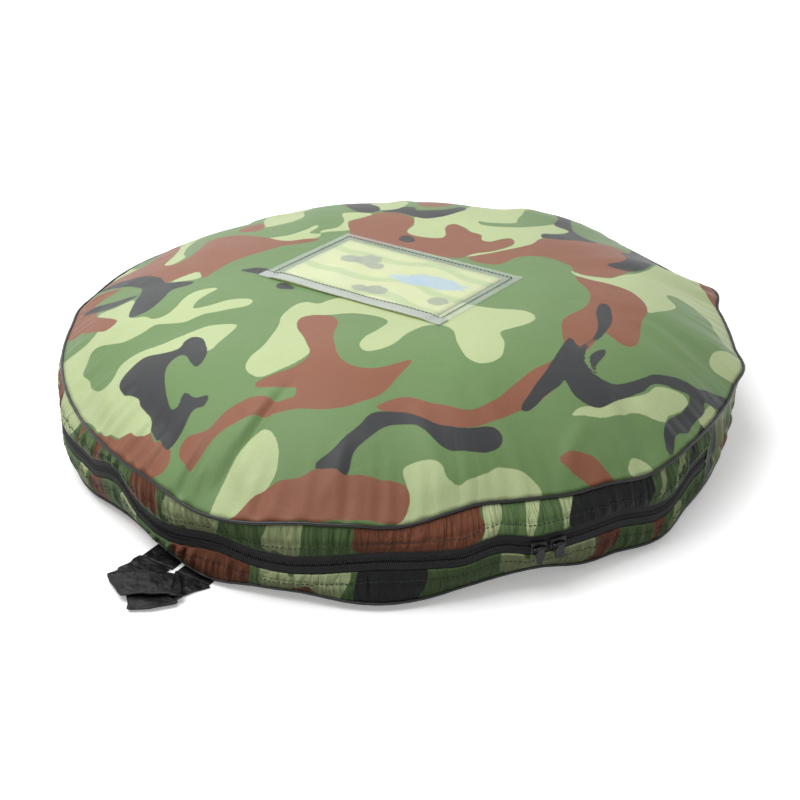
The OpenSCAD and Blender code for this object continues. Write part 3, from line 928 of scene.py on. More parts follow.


# Outlines of the top's print, drawn over the bag's middle, in millimetres
TOP_PRINT = Camouflage({}, 0.8 * MM, {
    Blotch.PALE: (
        ((-264, 4), (-248, -3), (-231, -4), (-228, -25), (-228, -44), (-215, -50), (-207, -58), (-197, -58),
         (-189, -48), (-183, -33), (-175, -22), (-164, -17), (-155, -20), (-163, -30), (-171, -42),
         (-173, -54), (-160, -53), (-142, -47), (-126, -47), (-121, -54), (-127, -63), (-145, -65),
         (-163, -67), (-177, -74), (-192, -72), (-205, -68), (-215, -74), (-230, -75), (-246, -67),
         (-260, -63), (-264, -75), (-266, -88), (-258, -101), (-251, -117), (-241, -125), (-234, -121),
         (-229, -107), (-218, -101), (-195, -101), (-178, -97), (-160, -89), (-144, -89), (-132, -95),
         (-137, -108), (-146, -122), (-154, -130), (-185, -122), (-200, -140), (-203, -162), (-193, -180),
         (-194, -193), (-208, -191), (-213, -186), (-233, -176), (-245, -160), (-256, -143), (-275, -125),
         (-295, -90), (-302, -52), (-280, -46), (-266, -43), (-258, -28), (-268, -8)),
        ((-56, -50), (-66, -58), (-76, -55), (-87, -65), (-95, -86), (-98, -108), (-105, -134),
         (-116, -150), (-118, -163), (-109, -174), (-94, -171), (-76, -161), (-68, -150), (-72, -132),
         (-78, -110), (-70, -88), (-50, -81), (-30, -80), (-12, -89), (-5, -100), (-14, -114), (-25, -128),
         (-29, -141), (-24, -151), (-13, -149), (0, -138), (11, -120), (24, -107), (38, -104), (46, -113),
         (50, -134), (56, -154), (66, -163), (78, -161), (87, -150), (89, -134), (86, -118), (96, -109),
         (110, -99), (116, -86), (109, -74), (88, -71), (70, -65), (52, -56), (20, -70), (-25, -60),
         (-45, -46)),
        ((-108, -226), (-97, -226), (-89, -238), (-88, -250), (-94, -264), (-118, -278), (-136, -281),
         (-141, -275), (-130, -252), (-118, -236)),
        ((6, -262), (12, -256), (25, -254), (36, -257), (40, -264), (50, -267), (65, -260), (80, -250),
         (94, -247), (105, -250), (113, -259), (100, -274), (50, -294), (2, -300), (8, -284), (11, -275)),
        ((139, -203), (146, -194), (167, -181), (178, -171), (192, -164), (204, -154), (213, -143),
         (226, -137), (237, -136), (240, -143), (231, -156), (222, -166), (215, -177), (192, -178),
         (182, -184), (172, -191), (156, -198)),
        ((249, -151), (255, -138), (263, -129), (267, -137), (260, -149), (253, -157)),
        ((268, -75), (273, -61), (281, -50), (293, -43), (305, -45), (304, -62), (297, -76), (284, -81),
         (272, -82)),
        ((157, 23), (167, 16), (180, 13), (192, 14), (203, 25), (222, 45), (236, 68), (244, 98), (252, 135),
         (258, 165), (275, 150), (300, 110), (308, 60), (302, 0), (304, -30), (291, -27), (283, -12),
         (281, 3), (270, 14), (256, 22), (246, 18), (241, 8), (247, -6), (240, -20), (230, -33), (217, -42),
         (214, -25), (205, -11), (188, -2), (172, 5), (160, 13)),
        ((61, 53), (75, 61), (92, 67), (106, 77), (111, 90), (106, 99), (97, 96), (88, 90), (79, 95),
         (80, 107), (71, 115), (66, 128), (57, 137), (49, 133), (48, 115), (42, 101), (28, 101), (14, 110),
         (11, 119), (18, 135), (17, 155), (30, 170), (55, 172), (70, 195), (76, 226), (98, 240), (126, 228),
         (150, 214), (165, 190), (168, 155), (160, 134), (148, 124), (137, 120), (137, 103), (127, 84),
         (110, 72), (90, 63), (74, 55)),
        ((-50, 173), (-28, 173), (-24, 165), (-41, 153), (-47, 143), (-42, 129), (-46, 122), (-66, 116),
         (-72, 110), (-70, 120), (-56, 130), (-50, 150)),
        ((-121, 101), (-106, 94), (-89, 94), (-75, 100), (-71, 111), (-82, 113), (-74, 131), (-78, 134),
         (-88, 120), (-101, 109), (-118, 104)),
        ((-125, 146), (-112, 147), (-98, 154), (-88, 170), (-92, 195), (-84, 218), (-96, 232), (-118, 222),
         (-130, 200), (-128, 165)),
        ((-213, 64), (-204, 63), (-194, 76), (-197, 92), (-196, 130), (-184, 168), (-198, 176), (-208, 140),
         (-206, 100)),
        ((-198, 12), (-192, 20), (-182, 27), (-170, 29), (-166, 25), (-172, 14), (-180, 10)),
        ((-15, 185), (-22, 205), (-24, 226), (-8, 240), (12, 228), (10, 200), (0, 186)),
        ((66, 268), (90, 256), (120, 262), (142, 248), (168, 240), (164, 258), (130, 282), (84, 292)),
        ((-196, 214), (-172, 206), (-150, 218), (-152, 238), (-176, 244), (-206, 230)),
        ((182, -226), (186, -216), (196, -213), (204, -217), (200, -226), (190, -228)),
        ((-275, 125), (-262, 138), (-246, 112), (-250, 96), (-265, 102)),
    ),
    Blotch.GREEN: (
        ((80, 146), (90, 143), (104, 145), (116, 152), (119, 168), (124, 184), (130, 204), (142, 216),
         (164, 204), (166, 170), (150, 158), (130, 142), (112, 133), (95, 131), (82, 136)),
    ),
    Blotch.BROWN: (
        ((-259, -147), (-250, -156), (-238, -172), (-225, -182), (-211, -185), (-207, -191), (-195, -192),
         (-189, -201), (-177, -212), (-177, -225), (-186, -231), (-204, -226), (-226, -200), (-246, -176)),
        ((-82, -98), (-78, -88), (-66, -83), (-54, -85), (-47, -96), (-49, -120), (-48, -148), (-41, -166),
         (-28, -173), (-8, -172), (14, -163), (6, -178), (-10, -201), (-30, -212), (-48, -217), (-80, -212),
         (-118, -214), (-142, -221), (-157, -236), (-163, -234), (-169, -219), (-163, -211), (-146, -212),
         (-132, -201), (-112, -194), (-92, -200), (-79, -200), (-80, -190), (-98, -187), (-111, -184),
         (-106, -177), (-82, -169), (-69, -156), (-71, -135), (-79, -114)),
        ((-128, -281), (-114, -276), (-98, -267), (-70, -263), (-55, -260), (-36, -266), (-8, -268),
         (8, -270), (12, -280), (2, -292), (-40, -291), (-95, -288)),
        ((-15, -216), (-4, -206), (12, -203), (30, -209), (50, -213), (64, -209), (80, -196), (97, -178),
         (112, -164), (126, -150), (138, -128), (138, -98), (143, -79), (157, -62), (167, -40), (167, -18),
         (161, 0), (160, 11), (172, 6), (190, -1), (207, -10), (215, -25), (217, -42), (210, -62),
         (206, -86), (199, -104), (189, -109), (179, -100), (172, -96), (162, -118), (152, -135),
         (145, -150), (133, -170), (127, -181), (112, -196), (94, -206), (78, -217), (58, -227), (40, -230),
         (20, -224), (2, -217)),
        ((127, -234), (138, -229), (151, -228), (161, -233), (174, -241), (160, -248), (147, -245),
         (136, -241)),
        ((179, -233), (190, -226), (202, -225), (198, -234), (184, -241)),
        ((-306, 68), (-286, 62), (-262, 50), (-250, 40), (-272, 34), (-268, 22), (-268, 6), (-263, -4),
         (-254, -15), (-246, -26), (-241, -34), (-243, -39), (-250, -41), (-257, -36), (-268, -26),
         (-279, -15), (-292, -10), (-306, 30)),
        ((-176, 120), (-158, 125), (-140, 120), (-122, 106), (-104, 93), (-84, 97), (-71, 98), (-80, 88),
         (-104, 80), (-122, 65), (-143, 46), (-158, 28), (-170, 10), (-176, 28), (-194, 20), (-206, 14),
         (-222, 38), (-246, 58), (-268, 76), (-272, 92), (-255, 104), (-238, 104), (-228, 120), (-228, 190),
         (-216, 190), (-209, 150), (-206, 110), (-210, 85), (-212, 66), (-200, 62), (-190, 72), (-182, 92)),
        ((-146, 158), (-137, 166), (-128, 162), (-125, 148), (-130, 133), (-146, 135), (-150, 147)),
        ((-46, 144), (-38, 153), (-24, 166), (-15, 174), (2, 171), (16, 153), (17, 138), (11, 119),
         (16, 108), (28, 101), (42, 101), (47, 112), (48, 130), (56, 138), (65, 128), (68, 118), (79, 108),
         (79, 95), (88, 90), (97, 96), (107, 98), (110, 88), (104, 77), (90, 67), (72, 60), (50, 48),
         (0, 78), (-40, 104), (-44, 122)),
        ((66, 50), (86, 61), (108, 72), (126, 85), (136, 103), (152, 106), (176, 112), (195, 120),
         (218, 112), (236, 92), (230, 62), (212, 40), (201, 24), (188, 14), (172, 15), (160, 22), (156, 36),
         (142, 49), (125, 54), (108, 48), (92, 33), (78, 36)),
        ((282, 98), (294, 98), (310, 70), (308, 50), (297, 59), (288, 75)),
        ((25, 195), (40, 190), (52, 200), (58, 222), (44, 242), (28, 236), (22, 218)),
        ((-92, 262), (-60, 248), (-26, 260), (4, 254), (34, 266), (28, 286), (-14, 300), (-60, 296)),
        ((-262, 136), (-244, 150), (-226, 178), (-214, 204), (-236, 204), (-258, 172)),
        ((196, 206), (214, 214), (200, 236), (178, 250), (174, 232)),
    ),
    Blotch.BLACK: (
        ((-226, -136), (-222, -123), (-208, -112), (-190, -116), (-178, -116), (-174, -107), (-167, -102),
         (-159, -109), (-154, -128), (-156, -143), (-161, -148), (-167, -140), (-171, -130), (-178, -127),
         (-186, -135), (-187, -152), (-181, -172), (-177, -181), (-172, -180), (-168, -170), (-158, -179),
         (-147, -182), (-150, -190), (-159, -190), (-167, -204), (-178, -212), (-187, -200), (-194, -190),
         (-194, -180), (-206, -164), (-209, -156), (-221, -147)),
        ((-296, 96), (-280, 92), (-266, 76), (-246, 60), (-228, 50), (-214, 34), (-203, 14), (-188, 9),
         (-177, 4), (-182, -4), (-195, -9), (-201, -24), (-210, -38), (-222, -44), (-230, -40), (-229, -14),
         (-226, 4), (-229, 20), (-243, 38), (-262, 56), (-278, 72), (-297, 82)),
        ((-282, 37), (-268, 27), (-250, 14), (-228, 4), (-240, -1), (-256, 4), (-270, 16), (-284, 30)),
        ((-62, -259), (-46, -248), (-28, -232), (-20, -222), (-8, -217), (8, -217), (24, -224), (36, -228),
         (52, -229), (72, -223), (81, -225), (83, -232), (76, -240), (62, -245), (46, -247), (34, -243),
         (18, -230), (8, -227), (-4, -229), (-18, -239), (-32, -253), (-37, -266), (-48, -262)),
        ((179, -44), (183, -51), (184, -65), (182, -79), (176, -96), (170, -107), (162, -115), (157, -123),
         (154, -133), (152, -148), (149, -140), (150, -128), (155, -119), (164, -108), (169, -95),
         (170, -79), (170, -62), (173, -49)),
        ((145, -112), (149, -122), (151, -137), (155, -151), (159, -157), (157, -146), (158, -136),
         (162, -128), (168, -122), (173, -121), (171, -128), (166, -137), (161, -148), (162, -158),
         (170, -160), (179, -157), (190, -150), (201, -140), (212, -130), (226, -123), (240, -120),
         (252, -120), (263, -114), (273, -109), (286, -104), (283, -120), (270, -128), (258, -130),
         (246, -132), (234, -134), (221, -136), (209, -143), (201, -154), (190, -164), (179, -172),
         (170, -182), (159, -188), (148, -188), (140, -182), (134, -171), (129, -179), (118, -190),
         (107, -201), (100, -204), (98, -201), (102, -193), (109, -182), (118, -168), (126, -151),
         (133, -134), (140, -120)),
        ((250, -124), (256, -136), (250, -150), (243, -160), (236, -172), (228, -178), (224, -186),
         (222, -196), (217, -200), (215, -187), (218, -176), (225, -165), (234, -154), (241, -142),
         (243, -132)),
        ((252, -154), (246, -166), (240, -178), (247, -179), (256, -163)),
        ((-58, 226), (-50, 208), (-42, 185), (-32, 174), (-22, 175), (-15, 183), (-17, 200), (-26, 216),
         (-38, 236), (-54, 240)),
        ((-158, 236), (-130, 240), (-112, 252), (-92, 256), (-96, 270), (-124, 268), (-150, 254)),
        ((0, 185), (8, 195), (18, 190), (20, 178), (42, 178), (55, 186), (62, 197), (68, 195), (66, 182),
         (55, 166), (42, 156), (28, 153), (14, 161), (2, 172), (-15, 178)),
        ((137, 117), (147, 123), (159, 129), (165, 145), (156, 152), (152, 160), (160, 185), (158, 210),
         (170, 226), (184, 216), (173, 190), (170, 150), (182, 128), (192, 116), (170, 110), (150, 106),
         (138, 107)),
        ((230, 202), (242, 188), (250, 160), (250, 135), (244, 105), (236, 75), (225, 52), (210, 40),
         (195, 42), (192, 48), (205, 58), (212, 75), (210, 95), (222, 115), (228, 150)),
        ((8, 106), (15, 104), (18, 92), (10, 88), (3, 96)),
        ((-137, 19), (-126, 24), (-116, 23), (-110, 14), (-118, 8), (-128, 12)),
        ((-104, -15), (-97, -12), (-86, -24), (-94, -27), (-102, -24)),
    ),
})


class GussetSide(Enum):
    """The two bands of the gusset, above and below the zip."""

    UPPER = 1
    LOWER = -1


# Brush strokes on each gusset as (angle, height, half width) in degrees and millimetres
GUSSET_STROKES = {
    GussetSide.UPPER: {
        Blotch.PALE: (
            ((196, 62, 22), (202, 66, 18), (206, 72, 8)), ((233.5, 46, 5), (235.5, 58, 10), (237, 72, 10)),
            ((239, 46, 12), (241, 60, 14), (242, 74, 11)), ((252, 50, 5), (253, 60, 12), (254, 74, 15)),
            ((255, 50, 7), (255.6, 64, 9)), ((283.4, 52, 5), (284, 62, 6), (284.6, 76, 8)),
            ((290.6, 56, 1), (291.5, 66, 5), (292, 78, 9)), ((296.6, 54, 2), (297.6, 64, 6), (298.2, 78, 10)),
            ((313.5, 50, 2), (315, 72, 4)), ((318, 48, 2), (319.6, 72, 5)),
        ),
        Blotch.BROWN: (
            ((208.4, 52, 3), (209.4, 74, 4)), ((214.8, 54, 4), (215.8, 64, 6), (216.4, 80, 5)),
            ((226.4, 46, 6), (228.4, 56, 13), (230, 70, 14)), ((231, 46, 5), (231.6, 56, 6)),
            ((244.6, 64, 1), (245, 76, 5)), ((266, 54, 8), (267.4, 66, 15), (269, 78, 13)),
            ((271, 52, 14), (274, 66, 22), (276, 78, 22)), ((279, 52, 10), (280, 64, 15), (281, 76, 9)),
        ),
        Blotch.BLACK: (
            ((300, 52, 13), (301.4, 66, 13), (303.4, 78, 17)), ((305, 50, 18), (306, 66, 20), (307, 78, 20)),
            ((309.4, 48, 7), (310, 62, 11), (309.6, 76, 12)), ((323.2, 44, 4), (323.8, 76, 6)),
        ),
    },
    GussetSide.LOWER: {
        Blotch.PALE: (
            ((208.6, 10, 7), (210, 24, 11), (211, 42, 8)), ((222, 10, 8), (223.4, 22, 13), (224, 38, 10)),
            ((251, 6, 6), (253, 18, 13), (252, 34, 9)), ((257, 8, 12), (258.4, 20, 16), (259, 36, 14)),
            ((260.8, 12, 5), (261.4, 28, 8)), ((288.4, 8, 5), (289, 22, 12), (288, 38, 9)),
            ((293, 8, 15), (294, 22, 18), (294, 38, 16)), ((298, 8, 9), (298.8, 22, 11), (299, 38, 11)),
            ((318, 8, 3), (320, 24, 6)),
        ),
        Blotch.BROWN: (
            ((213.4, 8, 7), (214.8, 20, 12), (215.4, 34, 7)), ((235, 6, 8), (236, 16, 13), (235.6, 34, 8)),
            ((240, 6, 16), (241, 18, 18), (242, 34, 14)), ((245.4, 6, 14), (246, 18, 15), (246.4, 34, 11)),
            ((253.6, 4, 4), (255.4, 10, 7), (256.6, 15, 4)), ((302.4, 8, 8), (303.4, 22, 12), (303.8, 38, 9)),
            ((314, 6, 4), (314.6, 34, 7)),
        ),
        Blotch.BLACK: (
            ((265, 4, 9), (266.6, 20, 15), (266, 40, 11)), ((270, 4, 16), (270, 40, 17)),
            ((272.4, 4, 7), (273.2, 22, 9), (272.4, 40, 10)),
        ),
    },
}


@dataclass
class Bag:
    """The bag's main lines: its two piped rims and the zip between them."""

    zip_r: float
    zip_z: float
    hinge_half: float = math.radians(30)
    top_z: float = 0.0
    bottom_z: float = 0.0
    crown_r: float = 114 * MM
    dome_h: float = 61 * MM
    crown_power: float = 2.5
    fuller_back: float = 0.3
    lean: float = math.radians(4.5)
    hem_gap: float = 9.3 * MM
    rims: dict[GussetSide, Array] = field(default_factory=dict)
    # Slack of the cloth as (angle, half width, outwards, upwards) in degrees and millimetres
    zip_slack: Sequence[tuple[float, float, float, float]] = (
        (203, 10, 4, 0), (220, 7, -2, 9), (233, 12, 2, -13), (252, 18, 3, -9.5), (285.5, 6.5, -3, 5.5),
        (315, 10.5, 5, -8.5), (60, 14, 3, -3), (95, 18, -3, 3), (132, 18, 3, -4), (168, 16, -2, 3))
    rim_slack: dict[GussetSide, Sequence[tuple[float, float, float, float]]] = field(default_factory=lambda: {
        GussetSide.UPPER: (
            (243, 15, 2, -6), (284, 18, -4, 4), (312, 12, 2, -2), (205, 9, 0, -2), (271, 8, 0, -3),
            (283, 6, 0, 2), (305, 7, 0, 3), (340, 8, 0, -2), (17, 7, 12, 1), (350, 7, 6, 0), (169, 7, 3, 0)),
        GussetSide.LOWER: (
            (290, 16, -3, 5), (222, 12, -3, 3), (241, 9, 3, -4), (315, 10, 5, -3), (256, 9, 0, 1),
            (268, 13, 5, -2), (208, 9, 2, -1), (300, 7, 1, -2)),
    })

    @classmethod
    def from_frame(cls, nodes: dict[str, Piece]) -> Bag:
        """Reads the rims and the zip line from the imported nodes.

        Args:
            nodes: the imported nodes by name.

        Returns:
            The bag's lines.
        """
        coil_low, coil_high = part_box("lower_zip_coil")
        upper_low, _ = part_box("upper_zip_coil")
        coil_r = (coil_high.z - coil_low.z) / 2
        bag = cls(zip_r=coil_high.y - coil_r, zip_z=(coil_high.z + upper_low.z) / 2)
        for side, node in ((GussetSide.UPPER, "top_piping"), (GussetSide.LOWER, "bottom_piping")):
            low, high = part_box(node)
            setattr(bag, "top_z" if side is GussetSide.UPPER else "bottom_z", (low.z + high.z) / 2)
            bag.rims[side] = cls._stations(nodes[node])
        return bag

    @staticmethod
    def _stations(node: Piece, count: int = 72) -> Array:
        """Mean radius of a piping node at equal angles from 0.

        Args:
            node: the piping.
            count: how many angles.

        Returns:
            The radius at each angle.
        """
        places = np.array([v.co for v in node.data.vertices])
        which = np.rint(np.arctan2(places[:, 1], places[:, 0]) / TURN * count).astype(int) % count
        radius = np.hypot(places[:, 0], places[:, 1])
        return np.array([(radius[which == k].min() + radius[which == k].max()) / 2 for k in range(count)])

    @staticmethod
    def _slack(theta: Array, bumps: Sequence[tuple[float, float, float, float]]) -> Points:
        """Offsets outwards and upwards of slack cloth at each angle.

        Args:
            theta: angles round the bag.
            bumps: the slack, as its fields list it.

        Returns:
            The two offsets at each angle, in metres.
        """
        degrees = np.degrees(theta) % 360
        total = np.zeros((*np.shape(theta), 2))
        for centre, half, outwards, upwards in bumps:
            gap = np.abs((degrees - centre + 180) % 360 - 180) / half
            total += (np.cos(np.minimum(gap, 1) * math.pi)[..., None] + 1) / 2 * np.array([outwards, upwards])
        return total * MM

    def rim(self, side: GussetSide, theta: Array) -> tuple[Array, Array]:
        """Radius and height of a piped rim at each angle.

        Args:
            side: which rim.
            theta: angles round the bag.

        Returns:
            The radius and the height at each angle.
        """
        stations = self.rims[side]
        count = len(stations)
        place = (theta / TURN * count) % count
        low = np.floor(place).astype(int)
        t = place - low
        a, b, c, d = (stations[(low + k) % count] for k in (-1, 0, 1, 2))
        radius = through(t, a, b, c, d)
        slack = self._slack(theta, self.rim_slack[side])
        height = self.top_z if side is GussetSide.UPPER else self.bottom_z
        return radius + slack[..., 0], height + slack[..., 1]

    def zip_line(self, theta: Array) -> tuple[Array, Array]:
        """Radius and height of the closed zip at each angle."""
        slack = self._slack(theta, self.zip_slack)
        return self.zip_r + slack[..., 0], self.zip_z + slack[..., 1]

    def zip_angles(self, share: Array, margin: float = 0.2) -> Array:
        """Angles of the zipped part of the edge for shares from 0 to 1."""
        start = self.hinge_half + math.radians(margin)
        return start + share * (TURN - 2 * start)

    def dome(self, theta: Array, radius: Array, edge: Array, rim_z: Array) -> Array:
        """Height of the taut crowned top.

        Args:
            theta: angle of each place.
            radius: its distance from the middle.
            edge: the rim's radius at that angle.
            rim_z: the rim's height there.

        Returns:
            The height at each place.
        """
        share = np.clip((radius - self.crown_r) / (edge - self.crown_r), 0, 1)
        rise = self.dome_h - math.tan(self.lean) * radius * np.sin(theta)
        fall = smooth(0.55, 1.0, radius / edge)
        power = self.crown_power + self.fuller_back * np.sin(theta)
        return self.top_z + rise * (1 - share ** power) + (rim_z - self.top_z) * fall


@dataclass
class SubAssembly:
    """A group of pieces that follows the bag's lines and shares its finishes."""

    bag: Bag
    finishes: Finishes


@dataclass
class TopPanel(SubAssembly):
    """Crowned top of the bag, with its slack drawn into creases and puckers."""

    columns: int = 640
    rows: int = 76
    cloth: float = 0.9 * MM
    crease_depth: float = 1.5
    # Creases as (from x, from y, to x, to y, half width, height) in millimetres
    creases: Sequence[tuple[float, float, float, float, float, float]] = (
        (-74, -182, -150, -268, 4, -2.6), (-92, -190, -160, -258, 8, 2.4), (-120, -215, -108, -286, 7, 1.4),
        (-30, -240, -64, -288, 6, 1.2), (62, -186, 118, -268, 10, 1.3), (150, -200, 128, -262, 7, 1.5),
        (176, -168, 214, -226, 8, -1.8), (196, -160, 236, -204, 9, 1.8), (-248, -110, -222, -186, 10, 1.5),
        (-268, -70, -214, -40, 9, 1.2), (262, -90, 196, -60, 10, 1.2), (150, -120, 190, -215, 12, 1.6),
        (-206, -150, -168, -232, 9, -1.4), (20, -205, 34, -290, 8, 1.0), (100, 180, 150, 250, 12, 1.5),
        (-100, 180, -150, 245, 12, 1.4), (0, 200, 10, 285, 10, 1.2), (200, 120, 262, 150, 10, 1.4),
        (-210, 110, -262, 140, 10, 1.4))
    # Swells as (x, y, half width, rise) in millimetres
    swells: Sequence[tuple[float, float, float, float]] = ((0, 230, 120, 2.5), (150, 208, 70, 5))

    def _grid(self, u: Array, v: Array) -> tuple[Array, Array, Array, Array]:
        """Angle, radius, edge radius and rim height for each grid point.

        Args:
            u: share round the panel.
            v: share from the middle to the rim.

        Returns:
            The four values at each point.
        """
        theta = u * TURN
        rim_r, rim_z = self.bag.rim(GussetSide.UPPER, theta)
        edge = rim_r - 0.6 * MM
        return theta, edge * v ** 0.8, edge, rim_z

    def surface(self, u: Array, v: Array) -> Points:
        """The panel's outer face.

        Args:
            u: share round the panel.
            v: share from the middle to the rim.

        Returns:
            The points in the bag's frame.
        """
        theta, radius, edge, rim_z = self._grid(u, v)
        height = self.bag.dome(theta, radius, edge, rim_z)
        flat = np.stack([radius * np.cos(theta), radius * np.sin(theta)], axis=1)
        loose = smooth(0.120, 0.190, radius) * (1 - smooth(0.94, 1.0, radius / edge))
        height += (self._creased(flat) + self._lumps(flat)) * loose
        height += self._puckers(theta, edge - radius)
        return np.column_stack([flat, height])

    def _creased(self, flat: Points) -> Array:
        """Height of the long creases at each place.

        Args:
            flat: places in plan, in metres.

        Returns:
            The height at each place.
        """
        total = np.zeros(len(flat))
        for crease in self.creases:
            start, end = np.array(crease[:2]) * MM, np.array(crease[2:4]) * MM
            half, rise = crease[4] * MM, crease[5] * MM
            run = end - start
            share = (flat - start) @ run / (run @ run)
            side = np.array([-run[1], run[0]]) / np.linalg.norm(run)
            gap = (flat - start) @ side + 3 * MM * np.sin(share * 5 + crease[0])
            along = np.sin(np.clip(share, 0, 1) * math.pi) ** 0.7
            within = np.where(np.abs(share - 0.5) <= 0.5, 1, 0)
            total += self.crease_depth * rise * along * np.exp(-(gap / half) ** 2) * within
        return total

    def _lumps(self, flat: Points) -> Array:
        """Swells and soft unevenness of what lies under the cloth.

        Args:
            flat: places in plan, in metres.

        Returns:
            The height at each place.
        """
        rng = np.random.default_rng(7)
        total = np.zeros(len(flat))
        for x, y, half, rise in self.swells:
            gap = np.linalg.norm(flat - np.array([x, y]) * MM, axis=1) / (half * MM)
            total += rise * MM * np.exp(-gap ** 2)
        for _ in range(9):
            heading, length = rng.uniform(0, TURN), rng.uniform(0.07, 0.16)
            way = np.array([math.cos(heading), math.sin(heading)])
            total += np.sin(flat @ way * TURN / length + rng.uniform(0, TURN)) * 0.45 * MM
        return total

    @staticmethod
    def _puckers(theta: Array, inwards: Array) -> Array:
        """Short gathers where the panel is sewn to the piping.

        Args:
            theta: angle of each place.
            inwards: its distance from the rim.

        Returns:
            The height at each place.
        """
        rng = np.random.default_rng(11)
        total = np.zeros(len(theta))
        for waves in (61, 83, 109, 140):
            strength = 0.5 + 0.5 * np.sin(theta * int(rng.integers(3, 8)) + rng.uniform(0, TURN))
            total += np.sin(theta * waves + rng.uniform(0, TURN)) * strength
        slack = np.exp(-((np.degrees(theta) % 360 - 236) / 24) ** 2)
        near = np.exp(-((inwards - 9 * MM) / (18 * MM + 8 * MM * slack)) ** 2)
        drawn_in = 0.5 + 1.1 * slack
        return total * near * drawn_in * smooth(0.0, 4 * MM, inwards) * MM

    def build(self) -> None:
        """Models, prints and dresses the panel."""
        def cloth(u: Array, v: Array) -> Points:
            """The panel in plan."""
            theta, radius, _, _ = self._grid(u, v)
            return np.stack([radius * np.cos(theta), radius * np.sin(theta)], axis=1)

        panel = Bench.sheet("top_panel_cloth", self.columns, self.rows, self.surface, cloth)
        TOP_PRINT.paint(panel, cloth(*grid_shares(self.columns, self.rows)))
        Bench.weld(panel)
        face_up(panel)
        Bench.dress(panel, self.finishes.camo, self.finishes.camo_back)
        Bench.thicken(panel, self.cloth, back=True)
        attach(panel, "lid")
        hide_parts("top_panel")


def grid_shares(columns: int, rows: int) -> tuple[Array, Array]:
    """The shares of a grid's vertices, in the order that the grid has them."""
    second, first = np.meshgrid(np.linspace(0, 1, rows + 1), np.linspace(0, 1, columns + 1), indexing="ij")
    return first.ravel(), second.ravel()


def face_up(obj: Piece) -> None:
    """Turns a sheet whose faces point down."""
    if sum(p.normal.z * p.area for p in obj.data.polygons) < 0:
        Bench.flip(obj)


def face_out(obj: Piece) -> None:
    """Turns a band whose faces point to the bag's middle.

    Args:
        obj: the band.
    """
    total = sum((p.normal.x * p.center.x + p.normal.y * p.center.y) * p.area for p in obj.data.polygons)
    if total < 0:
        Bench.flip(obj)


@dataclass
class Piping(SubAssembly):
    """Vinyl cord sewn into one rim of the bag."""

    side: GussetSide
    columns: int = 720
    sides: int = 12
    radius: float = 1.35 * MM
    wrap: float = 15 * MM

    def build(self) -> None:
        """Sweeps the cord round the rim."""
        upper = self.side is GussetSide.UPPER

        def surface(u: Array, v: Array) -> Points:
            """The cord's skin."""
            rim_r, rim_z = self.bag.rim(self.side, u * TURN)
            thick = self.radius * (1 + 0.04 * np.sin(u * TURN * 143))
            return polar(u * TURN, rim_r + thick * np.cos(v * TURN), rim_z + thick * np.sin(v * TURN))

        name = "top_piping_cord" if upper else "bottom_piping_cord"
        cloth = strip_cloth(self.bag.zip_r * TURN, self.wrap)
        cord = Bench.sheet(name, self.columns, self.sides, surface, cloth)
        Bench.weld(cord)
        Bench.dress(cord, self.finishes.piping)
        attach(cord, "lid" if upper else "base")
        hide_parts("top_piping" if upper else "bottom_piping")


def strip_cloth(length: float, width: float) -> Callable[[Array, Array], Points]:
    """Flat coordinates of a strip of cloth of that length and width."""
    return lambda u, v: np.stack([u * length, v * width], axis=1)


def gathers(theta: Array, seed: int, waves: Sequence[int], rough: Sequence[tuple[float, float, float]]
            ) -> Array:
    """Uneven gathers of cloth round the bag.

    Args:
        theta: angles round the bag.
        seed: fixes the draw.
        waves: numbers of gathers round the bag.
        rough: (angle, half width, extra strength) of the more gathered stretches, in degrees.

    Returns:
        Their height at each angle, about 1 at most where nothing adds to it.
    """
    rng = np.random.default_rng(seed)
    degrees = np.degrees(theta) % 360
    total = np.zeros(np.shape(theta))
    for count in waves:
        patch = 0.55 + 0.45 * np.sin(theta * int(rng.integers(4, 11)) + rng.uniform(0, TURN))
        total += patch * np.sin(theta * count + rng.uniform(0, TURN)) / len(waves) * 1.6
    strength = np.full(np.shape(theta), 0.55)
    for centre, half, extra in rough:
        gap = np.abs((degrees - centre + 180) % 360 - 180) / half
        strength += extra * np.exp(-gap ** 2)
    return total * strength


